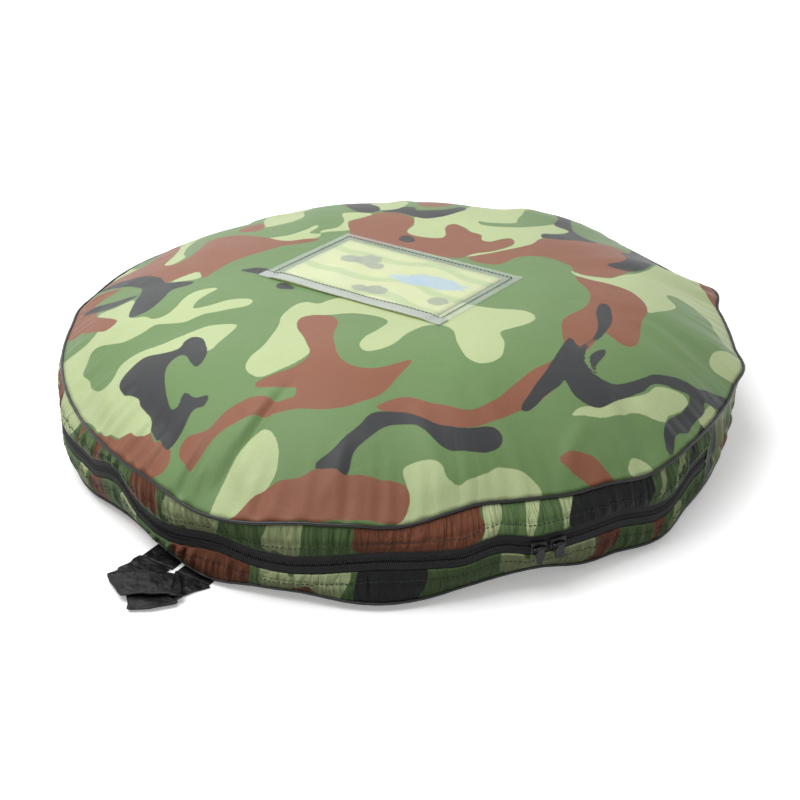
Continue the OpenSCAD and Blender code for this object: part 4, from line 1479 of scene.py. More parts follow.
@dataclass
class Gusset(SubAssembly):
    """One band of the bag's side, from its piped rim to the turned hem beside the zip."""

    side: GussetSide
    columns: int = 1800
    rows: int = 22
    cloth: float = 0.6 * MM
    turned_in: float = 0.4
    hem_roll: float = 0.8 * MM
    stitch_at: float = 7.5 * MM
    face_wide: float = 34 * MM
    cut_wide: float = 36 * MM
    face_share: float = 0.74
    roll_share: float = 0.86
    end_margin: float = -0.6

    def face(self, theta: Array, share: Array) -> Points:
        """Outer face for shares from 0 at the rim to 1 at the hem.

        Args:
            theta: angles round the bag.
            share: from 0 at the rim to 1 at the hem.

        Returns:
            The points in the bag's frame.
        """
        sign = self.side.value
        rim_r, rim_z = self.bag.rim(self.side, theta)
        line_r, line_z = self.bag.zip_line(theta)
        hem_r, hem_z = line_r + 1.5 * MM, line_z + sign * self.bag.hem_gap
        radius = rim_r + share * (hem_r - rim_r)
        height = rim_z - sign * 0.8 * MM + share * (hem_z - rim_z + sign * 0.8 * MM)
        if self.side is GussetSide.UPPER:
            seed, rough = 21, ((240, 9, 0.9), (216, 8, 0.5), (255, 6, 0.6), (318, 7, 0.5))
        else:
            seed, rough = 34, ((239, 7, 1.1), (214, 8, 0.5), (300, 8, 0.4), (322, 7, 0.5))
        slant = theta + 0.012 * (share - 0.5) * np.sin(theta * 5 + seed)
        fold = gathers(slant, seed, (97, 131, 158, 193), rough)
        fine = gathers(slant, seed + 1, (289, 331, 377), rough)
        shape = np.sin(np.clip(share, 0, 1) * math.pi) ** 0.8 * (0.6 + 0.4 * share) + 0.1 * share
        puffed = smooth(0.02, 0.2, share) * (1 - smooth(0.75, 1.0, share))
        near_seam = np.exp(-(((1 - share) * 20 * MM - self.stitch_at) / (1.4 * MM)) ** 2)
        radius = radius + 2.0 * MM * np.sin(share * math.pi) - near_seam * 0.6 * MM
        radius = radius + fold * shape * 2.4 * MM + fine * puffed * 0.75 * MM
        return polar(theta, radius, height)

    def surface(self, u: Array, v: Array) -> Points:
        """Outer face, rolled hem and the turned-in edge behind it.

        Args:
            u: share along the band.
            v: share from the rim to the turned-in edge.

        Returns:
            The points in the bag's frame.
        """
        theta = self.bag.zip_angles(u, self.end_margin)
        back = np.clip((v - self.roll_share) / (1 - self.roll_share), 0, 1) * self.turned_in
        points = self.face(theta, np.minimum(v / self.face_share, 1.0) - back)
        roll = np.clip((v - self.face_share) / (self.roll_share - self.face_share), 0, 1) * math.pi
        inwards = -self.hem_roll * (1 - np.cos(roll))
        points[:, 2] -= self.side.value * self.hem_roll * np.sin(roll)
        points[:, 0] += inwards * np.cos(theta)
        points[:, 1] += inwards * np.sin(theta)
        return points

    def print(self) -> Camouflage:
        """The strokes that show, and made-up blotches round the back.

        Returns:
            The band's print.
        """
        low, high = (46.0, 80.0) if self.side is GussetSide.UPPER else (2.0, 36.0)
        radius = self.bag.zip_r / MM
        strokes = {blotch: [[(math.radians(a) * radius, z, half) for a, z, half in stroke] for stroke in rows]
                   for blotch, rows in GUSSET_STROKES[self.side].items()}
        back = Camouflage.scattered(40 + self.side.value, (math.radians(26) * radius, low),
                                    (math.radians(192) * radius, high), 46.0)
        return Camouflage(strokes, 3.5 * MM).joined(back)

    def build(self) -> None:
        """Models, prints, dresses and stitches the band."""
        upper = self.side is GussetSide.UPPER
        u, v = grid_shares(self.columns, self.rows)
        theta = self.bag.zip_angles(u, self.end_margin)
        name = "upper_gusset_cloth" if upper else "lower_gusset_cloth"
        length = self.bag.zip_r * (TURN - 2 * self.bag.hinge_half)
        band = Bench.sheet(name, self.columns, self.rows, self.surface, strip_cloth(length, self.face_wide))
        self.print().paint(band, np.stack([theta * self.bag.zip_r, self.surface(u, v)[:, 2]], axis=1))
        # The bands take the darker cloth, whose colours hold painted shade.
        Bench.cut(band, face_out, self.cloth, self.finishes.camo_shaded_side, self.finishes.camo_back)
        body = "lid" if upper else "base"
        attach(band, body)
        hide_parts("upper_gusset" if upper else "lower_gusset")
        self._stitch(body)

    def _stitch(self, body: str) -> None:
        """Sews the row of stitches along the hem.

        Args:
            body: the body that the stitches ride on.
        """
        theta = self.bag.zip_angles(np.linspace(0.002, 0.998, 2400))
        line_z = self.bag.zip_line(theta)[1] + self.side.value * self.bag.hem_gap
        rim_z = self.bag.rim(self.side, theta)[1]
        share = 1 - self.stitch_at / np.abs(rim_z - line_z)
        path = self.face(theta, share)
        outwards = polar(theta, np.ones_like(theta), np.zeros_like(theta))
        row = Bench.stitches(f"{self.side.name.lower()}_hem_stitches", path + outwards * 0.15 * MM, outwards,
                             3.2 * MM, 0.8 * MM, 0.42 * MM)
        Bench.dress(row, self.finishes.thread)
        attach(row, body)


@dataclass
class HingePanel(SubAssembly):
    """Unzipped stretch of the gusset, one cloth from rim to rim."""

    columns: int = 240
    rows: int = 48
    cloth: float = 0.8 * MM
    lap: float = math.radians(0.5)
    bend: float = 17 * MM

    def surface(self, u: Array, v: Array) -> Points:
        """The panel's outer face, from the bottom rim up.

        Args:
            u: share along the arc.
            v: share from the bottom rim to the top.

        Returns:
            The points in the bag's frame.
        """
        theta = self._angle(u)
        low_r, low_z = self.bag.rim(GussetSide.LOWER, theta)
        high_r, high_z = self.bag.rim(GussetSide.UPPER, theta)
        mid_r = self.bag.zip_r + 1.5 * MM
        mid = np.clip((v - 0.5) * 2, -1, 1)
        radius = mid_r + np.where(mid > 0, (high_r - mid_r) * mid ** 2, (low_r - mid_r) * mid ** 2)
        height = low_z + 0.8 * MM + v * (high_z - low_z - 1.6 * MM)
        fold = gathers(theta, 55, (74, 103, 139), ((332, 6, 0.9), (352, 8, 0.8), (14, 9, 0.7), (26, 6, 0.6)))
        crease = np.exp(-((v - 0.5 + 0.04 * np.sin(theta * 9)) / 0.07) ** 2)
        loose = np.sin(v * math.pi) * smooth(0, 0.04, u) * smooth(0, 0.04, 1 - u)
        return polar(theta, radius + loose * (fold * 2.4 * MM + 2 * MM) - crease * loose * 2.5 * MM, height)

    def _angle(self, u: Array) -> Array:
        """Angle of each share of the panel's arc."""
        half = self.bag.hinge_half + self.lap
        return (2 * u - 1) * half

    def build(self) -> None:
        """Models, prints and dresses the panel."""
        u, v = grid_shares(self.columns, self.rows)
        length = 2 * (self.bag.hinge_half + self.lap) * self.bag.zip_r
        width = self.bag.top_z - self.bag.bottom_z
        panel = Bench.sheet("hinge_panel_cloth", self.columns, self.rows, self.surface,
                            strip_cloth(length, width))
        half = length / 2 / MM
        shown = Camouflage({
            Blotch.PALE: (((-140, 20, 8), (-132, 50, 10), (-128, 76, 8)), ((-92, 60, 9), (-70, 72, 12))),
            Blotch.BROWN: (((-118, 4, 8), (-110, 30, 9), (-122, 56, 6)), ((-60, 20, 12), (-40, 36, 10))),
            Blotch.BLACK: (((-151, 6, 4), (-151, 76, 4)), ((-96, 14, 6), (-84, 30, 7))),
        })
        pattern = shown.joined(Camouflage.scattered(61, (-30, 8), (half, 74), 52.0))
        pattern.paint(panel, np.stack([self._angle(u) * self.bag.zip_r, self.surface(u, v)[:, 2]], axis=1))
        Bench.cut(panel, face_out, self.cloth, self.finishes.camo, self.finishes.camo_back)
        out, middle = self.bag.zip_r, self.bag.zip_z
        middle - self.bend
        middle + self.bend
        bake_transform(panel)
        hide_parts("hinge_panel_lower", "hinge_panel_upper")


@dataclass
class ZipHalf(SubAssembly):
    """Tape and coil of one side of the zip."""

    side: GussetSide
    columns: int = 900
    rows: int = 12
    tape_in: float = 1.2 * MM
    tape_out: float = 13.2 * MM
    tape_t: float = 0.7 * MM
    tucked: float = 2.2 * MM
    coil_pitch: float = 1.7 * MM
    coil_deep: float = 1.15 * MM
    coil_tall: float = 1.45 * MM
    strand: float = 0.42 * MM
    steps: int = 8

    def build(self) -> None:
        """Makes the tape, then the coil sewn to its edge."""
        upper = self.side is GussetSide.UPPER
        body = "lid" if upper else "base"
        word = self.side.name.lower()
        length = self.bag.zip_r * (TURN - 2 * self.bag.hinge_half)
        tape = Bench.sheet(f"{word}_tape_weave", self.columns, self.rows, self._tape,
                           strip_cloth(length, self.tape_out - self.tape_in))
        Bench.cut(tape, face_out, self.tape_t, self.finishes.tape)
        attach(tape, body)
        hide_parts(f"{word}_zip_tape")
        self.tape_out - self.tape_in
        coil = self._coil(f"{word}_coil_strand")
        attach(coil, body)
        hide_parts(f"{word}_zip_coil")

    def _tape(self, u: Array, v: Array) -> Points:
        """Outer face of the tape, with two woven ridges beside the coil.

        Args:
            u: share along the zip.
            v: share from the coil to the hidden edge.

        Returns:
            The points in the bag's frame.
        """
        theta = self.bag.zip_angles(u)
        radius, height = self.bag.zip_line(theta)
        reach = self.tape_in + v * (self.tape_out - self.tape_in)
        ridge = np.exp(-((reach - 4.6 * MM) / (0.8 * MM)) ** 2)
        ridge = ridge + 0.7 * np.exp(-((reach - 7.4 * MM) / (0.7 * MM)) ** 2)
        under = smooth(0.55, 1.0, v) * self.tucked
        out = radius + self.tape_t / 2 + ridge * 0.35 * MM - under
        return polar(theta, out, height + self.side.value * reach)

    def _coil(self, name: str) -> Piece:
        """One unbroken coil of nylon strand along the tape's edge.

        Args:
            name: the piece's name.

        Returns:
            The dressed coil.
        """
        start = float(self.bag.zip_angles(np.array([0.0]), 1.2)[0])
        span = TURN - 2 * start
        turns = int(span * self.bag.zip_r / self.coil_pitch)
        phase = 0.0 if self.side is GussetSide.UPPER else math.pi
        middle = self.side.value * 1.55 * MM

        def surface(u: Array, v: Array) -> Points:
            """The strand's skin."""
            theta = start + u * span
            wind = u * turns * TURN + phase
            ring = self.strand * np.cos(v * TURN)
            side = self.strand * np.sin(v * TURN) / self.bag.zip_r
            line_r, line_z = self.bag.zip_line(theta)
            radius = line_r + (self.coil_deep + ring) * np.cos(wind)
            height = line_z + middle + (self.coil_tall + ring) * np.sin(wind)
            return polar(theta + side, radius, height)

        coil = Bench.sheet(name, turns * self.steps, 4, surface, strip_cloth(span * self.bag.zip_r, 3 * MM))
        Bench.weld(coil)
        Bench.dress(coil, self.finishes.coil)
        return coil


@dataclass
class Slider(SubAssembly):
    """Zip slider with its bail, and the pull that hangs from it."""

    word: str
    angle: float
    nose: int
    pull_long: float
    pull_tip: float
    long: float = 13.5 * MM
    tall: float = 9.6 * MM
    plate: float = 1.4 * MM
    gap: float = 2.2 * MM
    bail_out: float = 6.2 * MM
    bail_r: float = 1.0 * MM
    pull_wide: float = 8.8 * MM
    pull_t: float = 1.6 * MM
    eased: float = math.radians(40)

    def _place(self) -> Matrix:
        """From the slider's own frame (outwards, along, up) to the bag's."""
        at = Vector((self.bag.zip_r, 0, self.bag.zip_z))
        return Matrix.Rotation(self.angle, 4, "Z") @ Matrix.Translation(at)

    @staticmethod
    def _block(size: tuple[float, float, float], middle: tuple[float, float, float]) -> Piece:
        """A cube scaled to a block, ready to be shaped.

        Args:
            size: its three sides.
            middle: its place.

        Returns:
            The block.
        """
        Bench.clear()
        bpy.ops.mesh.primitive_cube_add(size=1.0)
        block = bpy.context.object
        block.data.transform(Matrix.Translation(middle) @ Matrix.Diagonal((*size, 1.0)))
        return block

    @staticmethod
    def _squeeze(block: Piece, pick: Callable[[Vector], bool],
                 factor: tuple[float, float, float]) -> None:
        """Scales the picked corners of a block about the origin.

        Args:
            block: the block.
            pick: says which corners move.
            factor: scale along each axis.
        """
        Bench.choose(block, "VERT", lambda corner: pick(corner.co))
        bpy.ops.transform.resize(value=factor, center_override=(0, 0, 0))
        bpy.ops.object.mode_set(mode="OBJECT")

    def _plate(self, middle: float) -> Piece:
        """One plate of the slider: broad at its nose, narrower at its tail, all edges eased.

        Args:
            middle: how far out of the zip's line it lies.

        Returns:
            The plate.
        """
        plate = self._block((self.plate, self.long, self.tall), (middle, 0, 0))
        self._squeeze(plate, lambda p: p.y * self.nose < 0, (1, 1, 0.72))
        Bench.modify(plate, "BEVEL", width=1.6 * MM, segments=3, limit_method="ANGLE", angle_limit=self.eased)
        return plate

    def _rod(self, path: Points, radius: float, sides: int = 10) -> Piece:
        """A bent round bar along a few points in the plane of the bail.

        Args:
            path: the points that bend it.
            radius: of the bar.
            sides: faces round it.

        Returns:
            The bar as a mesh.
        """
        Bench.clear()
        curve = bpy.data.curves.new("bar", "CURVE")
        curve.dimensions = "3D"
        curve.bevel_depth = radius
        curve.bevel_resolution = sides // 4
        curve.use_fill_caps = True
        spline = curve.splines.new("NURBS")
        spline.points.add(len(path) - 1)
        for point, place in zip(spline.points, path):
            point.co = (*place, 1.0)
        spline.order_u = 3
        spline.use_endpoint_u = True
        spline.resolution_u = 6
        bar = bpy.data.objects.new("bar", curve)
        bpy.context.scene.collection.objects.link(bar)
        Bench.pick(bar)
        bpy.ops.object.convert(target="MESH")
        return bpy.context.object

    def _joined(self, name: str, pieces: Sequence[Piece]) -> Piece:
        """Joins the shapes of one casting and sets it in the bag's frame.

        Args:
            name: the piece's name.
            pieces: the shapes to join.

        Returns:
            The dressed casting.
        """
        Bench.pick(pieces[0])
        for piece in pieces:
            piece.select_set(True)
        bpy.ops.object.join()
        whole = bpy.context.object
        whole.name = name
        whole.data.name = name
        whole.data.transform(self._place())
        bpy.ops.object.shade_smooth_by_angle(angle=math.radians(35))
        Bench.dress(whole, self.finishes.metal)
        return whole

    def build(self) -> None:
        """Makes the slider and its pull."""
        reach = self.gap + self.plate / 2
        foot = 4.1 * MM
        shapes = [self._plate(reach), self._plate(-reach)]
        for side in (reach - self.plate / 2 - 0.5 * MM, -reach + self.plate / 2 + 0.5 * MM):
            rail = self._block((1.0 * MM, self.long * 0.86, 0.9 * MM), (side, 0, -self.tall * 0.42))
            Bench.modify(rail, "BEVEL", width=0.25 * MM, segments=2)
            shapes.append(rail)
        post = self._block((2 * self.gap + 1 * MM, 4 * MM, 1 * MM), (0, self.nose * 4 * MM, 0))
        Bench.modify(post, "BEVEL", width=0.3 * MM, segments=2)
        shapes.append(post)
        plate_face = self.gap + self.plate
        bail = np.array([
            (plate_face - 0.8 * MM, -foot - 1.0 * MM, 0), (plate_face + 1.2 * MM, -foot - 0.8 * MM, 0),
            (self.bail_out, -foot, 0), (self.bail_out, 0, 0), (self.bail_out, foot, 0),
            (plate_face + 1.2 * MM, foot + 0.8 * MM, 0), (plate_face - 0.8 * MM, foot + 1.0 * MM, 0)])
        shapes.append(self._rod(bail, self.bail_r))
        body = self._joined(f"slider_{self.word}_casting", shapes)
        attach(body, f"slider_{self.word}")
        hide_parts(f"slider_{self.word}")
        tab = self._pull()
        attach(tab, f"pull_{self.word}")
        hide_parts(f"pull_{self.word}")

    def _pull(self) -> Piece:
        """The pull: an eye round the bail, and a tapering tab with a sunk panel in each face.

        Returns:
            The dressed pull.
        """
        eye_r = self.bail_r + 0.55 * MM
        Bench.clear()
        bpy.ops.mesh.primitive_torus_add(major_radius=eye_r, minor_radius=0.45 * MM, major_segments=20,
                                         minor_segments=8)
        eye = bpy.context.object
        eye.data.transform(Matrix.Translation((self.bail_out, 0, 0)) @ Matrix.Rotation(math.pi / 2, 4, "X")
                           @ Matrix.Diagonal((1.0, 1.0, 6.4, 1.0)))
        top = -2.6 * MM
        middle = (top - self.pull_long) / 2
        tab = self._block((self.pull_t, self.pull_wide, self.pull_long + top), (0, 0, middle))
        self._squeeze(tab, lambda p: p.z < middle, (1, self.pull_tip / self.pull_wide, 1))
        Bench.choose(tab, "FACE", lambda face: abs(face.normal.x) > 0.9)
        bpy.ops.mesh.inset(thickness=1.3 * MM, depth=-0.4 * MM, use_individual=True)
        bpy.ops.object.mode_set(mode="OBJECT")
        Bench.modify(tab, "BEVEL", width=0.35 * MM, segments=2, limit_method="ANGLE", angle_limit=self.eased)
        tab.data.transform(Matrix.Translation((self.bail_out, 0, 0)))
        neck = self._block((self.pull_t, 5.6 * MM, 2.6 * MM), (self.bail_out, 0, -2.2 * MM))
        Bench.modify(neck, "BEVEL", width=0.4 * MM, segments=2)
        return self._joined(f"pull_{self.word}_tab", [tab, eye, neck])


@dataclass
class Pocket(SubAssembly):
    """Clear pocket sewn on the crown, with its mouth strip, its stitching and the card in it."""

    long: float = 194 * MM
    deep: float = 130 * MM
    middle: tuple[float, float] = (-4 * MM, 3 * MM)
    turn: float = math.radians(-35.5)
    border: float = 13 * MM
    mouth: float = 13 * MM
    sheet_t: float = 0.4 * MM
    card_t: float = 0.5 * MM

    def place(self) -> Matrix:
        """From the pocket's own frame (along the mouth, away from it, up) to the bag's.

        Returns:
            The matrix of that move.
        """
        z = self.bag.top_z + self.bag.dome_h - math.tan(self.bag.lean) * self.middle[1]
        return (Matrix.Translation((*self.middle, z)) @ Matrix.Rotation(-self.bag.lean, 4, "X")
                @ Matrix.Rotation(self.turn, 4, "Z"))

    def _set(self, local: Points) -> Points:
        """Points of the pocket's frame in the bag's."""
        place = np.array(self.place())
        return local @ place[:3, :3].T + place[:3, 3]

    def _lift(self, x: Array, y: Array) -> Array:
        """Height of the clear sheet's under face above the crown.

        Args:
            x: place along the mouth.
            y: place away from it.

        Returns:
            The height at each place.
        """
        inwards = np.minimum(np.minimum(self.long / 2 - np.abs(x), self.deep / 2 - y), 40 * MM)
        sewn = smooth(self.border * 0.75, self.border + 5 * MM, inwards)
        wave = 0.35 * MM * np.sin(x * 48 + 1.3) * np.sin(y * 39 + 0.4) + 0.2 * MM * np.sin(x * 110 + y * 70)
        return 0.35 * MM + sewn * (1.25 * MM + wave)

    def build(self) -> None:
        """Makes the sheet, the strip, the stitches and the card."""
        def window(u: Array, v: Array) -> Points:
            """The clear sheet's outer face."""
            x, y = (u - 0.5) * self.long, (v - 0.5) * self.deep
            return self._set(np.stack([x, y, self._lift(x, y) + self.sheet_t], axis=1))

        sheet = Bench.sheet("pocket_clear_sheet", 120, 84, window, strip_cloth(self.long, self.deep))
        Bench.cut(sheet, face_up, self.sheet_t, self.finishes.clear)
        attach(sheet, "lid")
        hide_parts("pocket_window")
        self._strip()
        self._sew()
        self._card()

    def _strip(self) -> None:
        """Folded strip that stiffens the pocket's mouth."""
        def strip(u: Array, v: Array) -> Points:
            """The strip's outer face."""
            x = (u - 0.5) * self.long
            y = -self.deep / 2 - 1.0 * MM + v * self.mouth
            round_over = 0.5 * MM * np.sin(np.clip(v, 0, 1) * math.pi) ** 0.6
            lift = self._lift(x, np.maximum(y, -self.deep / 2)) + self.sheet_t + 0.25 * MM + round_over
            return self._set(np.stack([x, y, lift + 0.15 * MM * np.sin(x * 90)], axis=1))

        piece = Bench.sheet("pocket_mouth_binding", 140, 12, strip, strip_cloth(self.long, self.deep))
        Bench.cut(piece, face_up, self.sheet_t, self.finishes.strip)
        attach(piece, "lid")
        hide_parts("pocket_mouth_strip")

    def _sew(self) -> None:
        """Grey stitches round the sewn border and along the mouth strip."""
        inset = self.border * 0.55
        half_l, half_d = self.long / 2 - inset, self.deep / 2 - inset
        low = -self.deep / 2 + self.mouth - 2.2 * MM
        corners = [(-half_l, low), (half_l, low), (half_l, half_d), (-half_l, half_d), (-half_l, low)]
        runs = [np.linspace(a, b, 120) for a, b in zip(corners, corners[1:])]
        flat = np.concatenate(runs)
        lift = self._lift(flat[:, 0], flat[:, 1]) + self.sheet_t + 0.3 * MM
        lift += np.where(flat[:, 1] < low + 0.1 * MM, 0.5 * MM, 0.0)
        path = self._set(np.column_stack([flat, lift]))
        up = np.tile(np.array(self.place())[:3, 2], (len(path), 1))
        row = Bench.stitches("pocket_stitches", path, up, 3.4 * MM, 0.5 * MM, 0.5 * MM)
        Bench.dress(row, self.finishes.grey_thread)
        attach(row, "lid")

    def _card(self) -> None:
        """Printed card that lies in the pocket."""
        long = self.long - 2 * self.border - 1 * MM
        deep = self.deep - self.border - 1 * MM

        def card(u: Array, v: Array) -> Points:
            """The card's printed face."""
            x = (u - 0.5) * long
            y = -self.deep / 2 + 0.5 * MM + v * deep
            return self._set(np.stack([x, y, np.full_like(x, 0.3 * MM + self.card_t)], axis=1))

        piece = Bench.sheet("card_print_sheet", 24, 18, card, strip_cloth(long, deep))
        Bench.cut(piece, face_up, self.card_t, self.finishes.card)
        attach(piece, "card")
        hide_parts("card")


@dataclass
class Strap(SubAssembly):
    """Carry strap: one length of webbing that leaves the bag, folds back on itself and returns."""

    wide: float = 32 * MM
    thick: float = 1.5 * MM
    angle: float = math.radians(235.5)
    hinge_out: float = 8.5 * MM
    # Middles of the two sewn ends along the edge, in millimetres
    ends_at: Sequence[float] = (-20.0, 17.0)
    # Both edges of the webbing as (outwards, along, up) in millimetres, from one sewn end to the other
    rulings: Sequence[tuple[tuple[float, float, float], tuple[float, float, float]]] = (
        ((0.4, -37, 1.6), (0.4, -5, 1.6)), ((12, -37.5, 2), (12, -5, 1.8)), ((24, -38, 2.8), (28, -7, 2.6)),
        ((35.5, -37, 4.6), (50, -16, 5)),
        ((31, -30, 6.6), (51, -6, 7)), ((22, -17, 7), (43, 6, 8.4)), ((14, -3, 7.4), (34, 18, 8)),
        ((9, 7, 6.6), (30, 27, 7)),
        ((8, 10, 5.2), (29, 30, 5.4)),
        ((13, 7, 4), (37, 28, 3.8)), ((27, -3, 4), (50, 18, 3.6)), ((36, -11, 4), (57, 8, 3.6)),
        ((40, -14, 3), (60, 4, 2.8)),
        ((33, -10, 1.8), (50, 8, 1.8)), ((16, -1, 1.5), (34, 20, 1.5)), ((6, 2, 1.5), (13, 30, 1.5)),
        ((0.4, 1, 1.6), (0.4, 36, 1.6)))
    steps: int = 12

    def _place(self, local: Points) -> Points:
        """From the strap's frame (outwards, along the edge, up) to the bag's.

        Args:
            local: points in the strap's frame.

        Returns:
            The points in the bag's frame.
        """
        out = self.bag.zip_r + self.hinge_out + local[:, 0]
        c, s = math.cos(self.angle), math.sin(self.angle)
        return np.stack([out * c - local[:, 1] * s, out * s + local[:, 1] * c, local[:, 2]], axis=1)

    def _edge(self, which: int) -> Points:
        """One edge of the webbing, as a smooth line through its rulings.

        Args:
            which: 0 or 1, as in each ruling.

        Returns:
            Its points in the strap's frame.
        """
        spots = np.array([pair[which] for pair in self.rulings]) * MM
        spots = np.vstack([2 * spots[0] - spots[1], spots, 2 * spots[-1] - spots[-2]])
        share = np.linspace(0, 1, self.steps, endpoint=False)[:, None]
        runs = [through(share, *four) for four in zip(spots, spots[1:], spots[2:], spots[3:])]
        return np.vstack([*runs, spots[-2:-1]])

    def build(self) -> None:
        """Lays the webbing and its two sewn ends."""
        left, right = self._edge(0), self._edge(1)
        middle = (left + right) / 2
        travel = np.r_[0, np.cumsum(np.linalg.norm(np.diff(middle, axis=0), axis=1))]

        def surface(u: Array, v: Array) -> Points:
            """The webbing's middle, ruled from edge to edge."""
            at = u * (len(left) - 1)
            edges = [np.stack([np.interp(at, np.arange(len(e)), e[:, k]) for k in range(3)], axis=1)
                     for e in (left, right)]
            cup = 0.4 * MM * np.sin(v * math.pi) + 0.5 * MM * np.sin(v * 9 + at * 0.21)
            wave = 1.3 * MM * np.sin(at * 0.37 + v * 3) * smooth(0.0, 0.1, u) * (1 - smooth(0.9, 1.0, u))
            points = edges[0] + (edges[1] - edges[0]) * v[:, None]
            return self._place(points + np.stack([wave, -wave, cup], axis=1))

        strap = Bench.sheet("carry_strap_webbing", len(left) - 1, 16, surface,
                            lambda u, v: np.stack([np.interp(u, np.linspace(0, 1, len(travel)), travel),
                                                   v * self.wide], axis=1))
        Bench.weld(strap, outward=False)
        Bench.dress(strap, self.finishes.webbing)
        Bench.modify(strap, "SOLIDIFY", thickness=self.thick, offset=0.0, use_rim=True)
        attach(strap, "strap")
        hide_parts("carry_strap")
        LOG.info("strap length %.3f m", travel[-1])
        self._ends()

    def _ends(self) -> None:
        """The two ends under the bag, where the webbing is sewn to its bottom seam."""
        pieces = []
        for spot in self.ends_at:
            def surface(u: Array, v: Array) -> Points:
                """The outer face of one end."""
                out = (-32.0 + u * 31.6) * MM
                along = (spot - 16.0 + v * 32.0) * MM
                up = np.full_like(out, 1.6 * MM) + 0.1 * MM * np.sin(v * 25)
                return self._place(np.stack([out, along, up], axis=1))

            pieces.append(Bench.sheet("strap_end", 12, 16, surface, strip_cloth(32 * MM, self.wide)))
        Bench.pick(pieces[0])
        pieces[1].select_set(True)
        bpy.ops.object.join()
        ends = bpy.context.object
        ends.name = "strap_ends_webbing"
        Bench.cut(ends, face_up, 1.4 * MM, self.finishes.webbing)
        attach(ends, "base")
        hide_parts("strap_ends")
        2 * self.wide


@dataclass
class BottomPanel(SubAssembly):
    """Flat bottom of the bag, whose outer ring lifts to the lower piping."""

    columns: int = 480
    rows: int = 60
    cloth: float = 0.9 * MM
    flat_r: float = 262 * MM

    def surface(self, u: Array, v: Array) -> Points:
        """The panel's under face.

        Args:
            u: share round the panel.
            v: share from the middle to the rim.

        Returns:
            The points in the bag's frame.
        """
        theta = u * TURN
        rim_r, rim_z = self.bag.rim(GussetSide.LOWER, theta)
        radius = (rim_r - 0.6 * MM) * v ** 0.85
        share = np.clip((radius - self.flat_r) / (rim_r - self.flat_r), 0, 1)
        fold = gathers(theta, 71, (88, 121, 149), ((241, 12, 0.8),))
        lift = (rim_z - 0.6 * MM) * share ** 1.5 + fold * 1.0 * MM * np.sin(share * math.pi)
        return polar(theta, radius, np.maximum(lift, 0.1 * MM))

    def build(self) -> None:
        """Models, prints and dresses the panel."""
        u, v = grid_shares(self.columns, self.rows)
        flat = self.surface(u, v)[:, :2]
        panel = Bench.sheet("bottom_panel_cloth", self.columns, self.rows, self.surface,
                            lambda a, b: self.surface(a, b)[:, :2])
        Camouflage.scattered(83, (-300, -300), (300, 300)).paint(panel, flat)
        Bench.weld(panel)
        face_up(panel)
        Bench.flip(panel)
        Bench.dress(panel, self.finishes.camo, self.finishes.camo_back)
        Bench.thicken(panel, self.cloth, back=True)
        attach(panel, "base")
        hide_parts("bottom_panel")


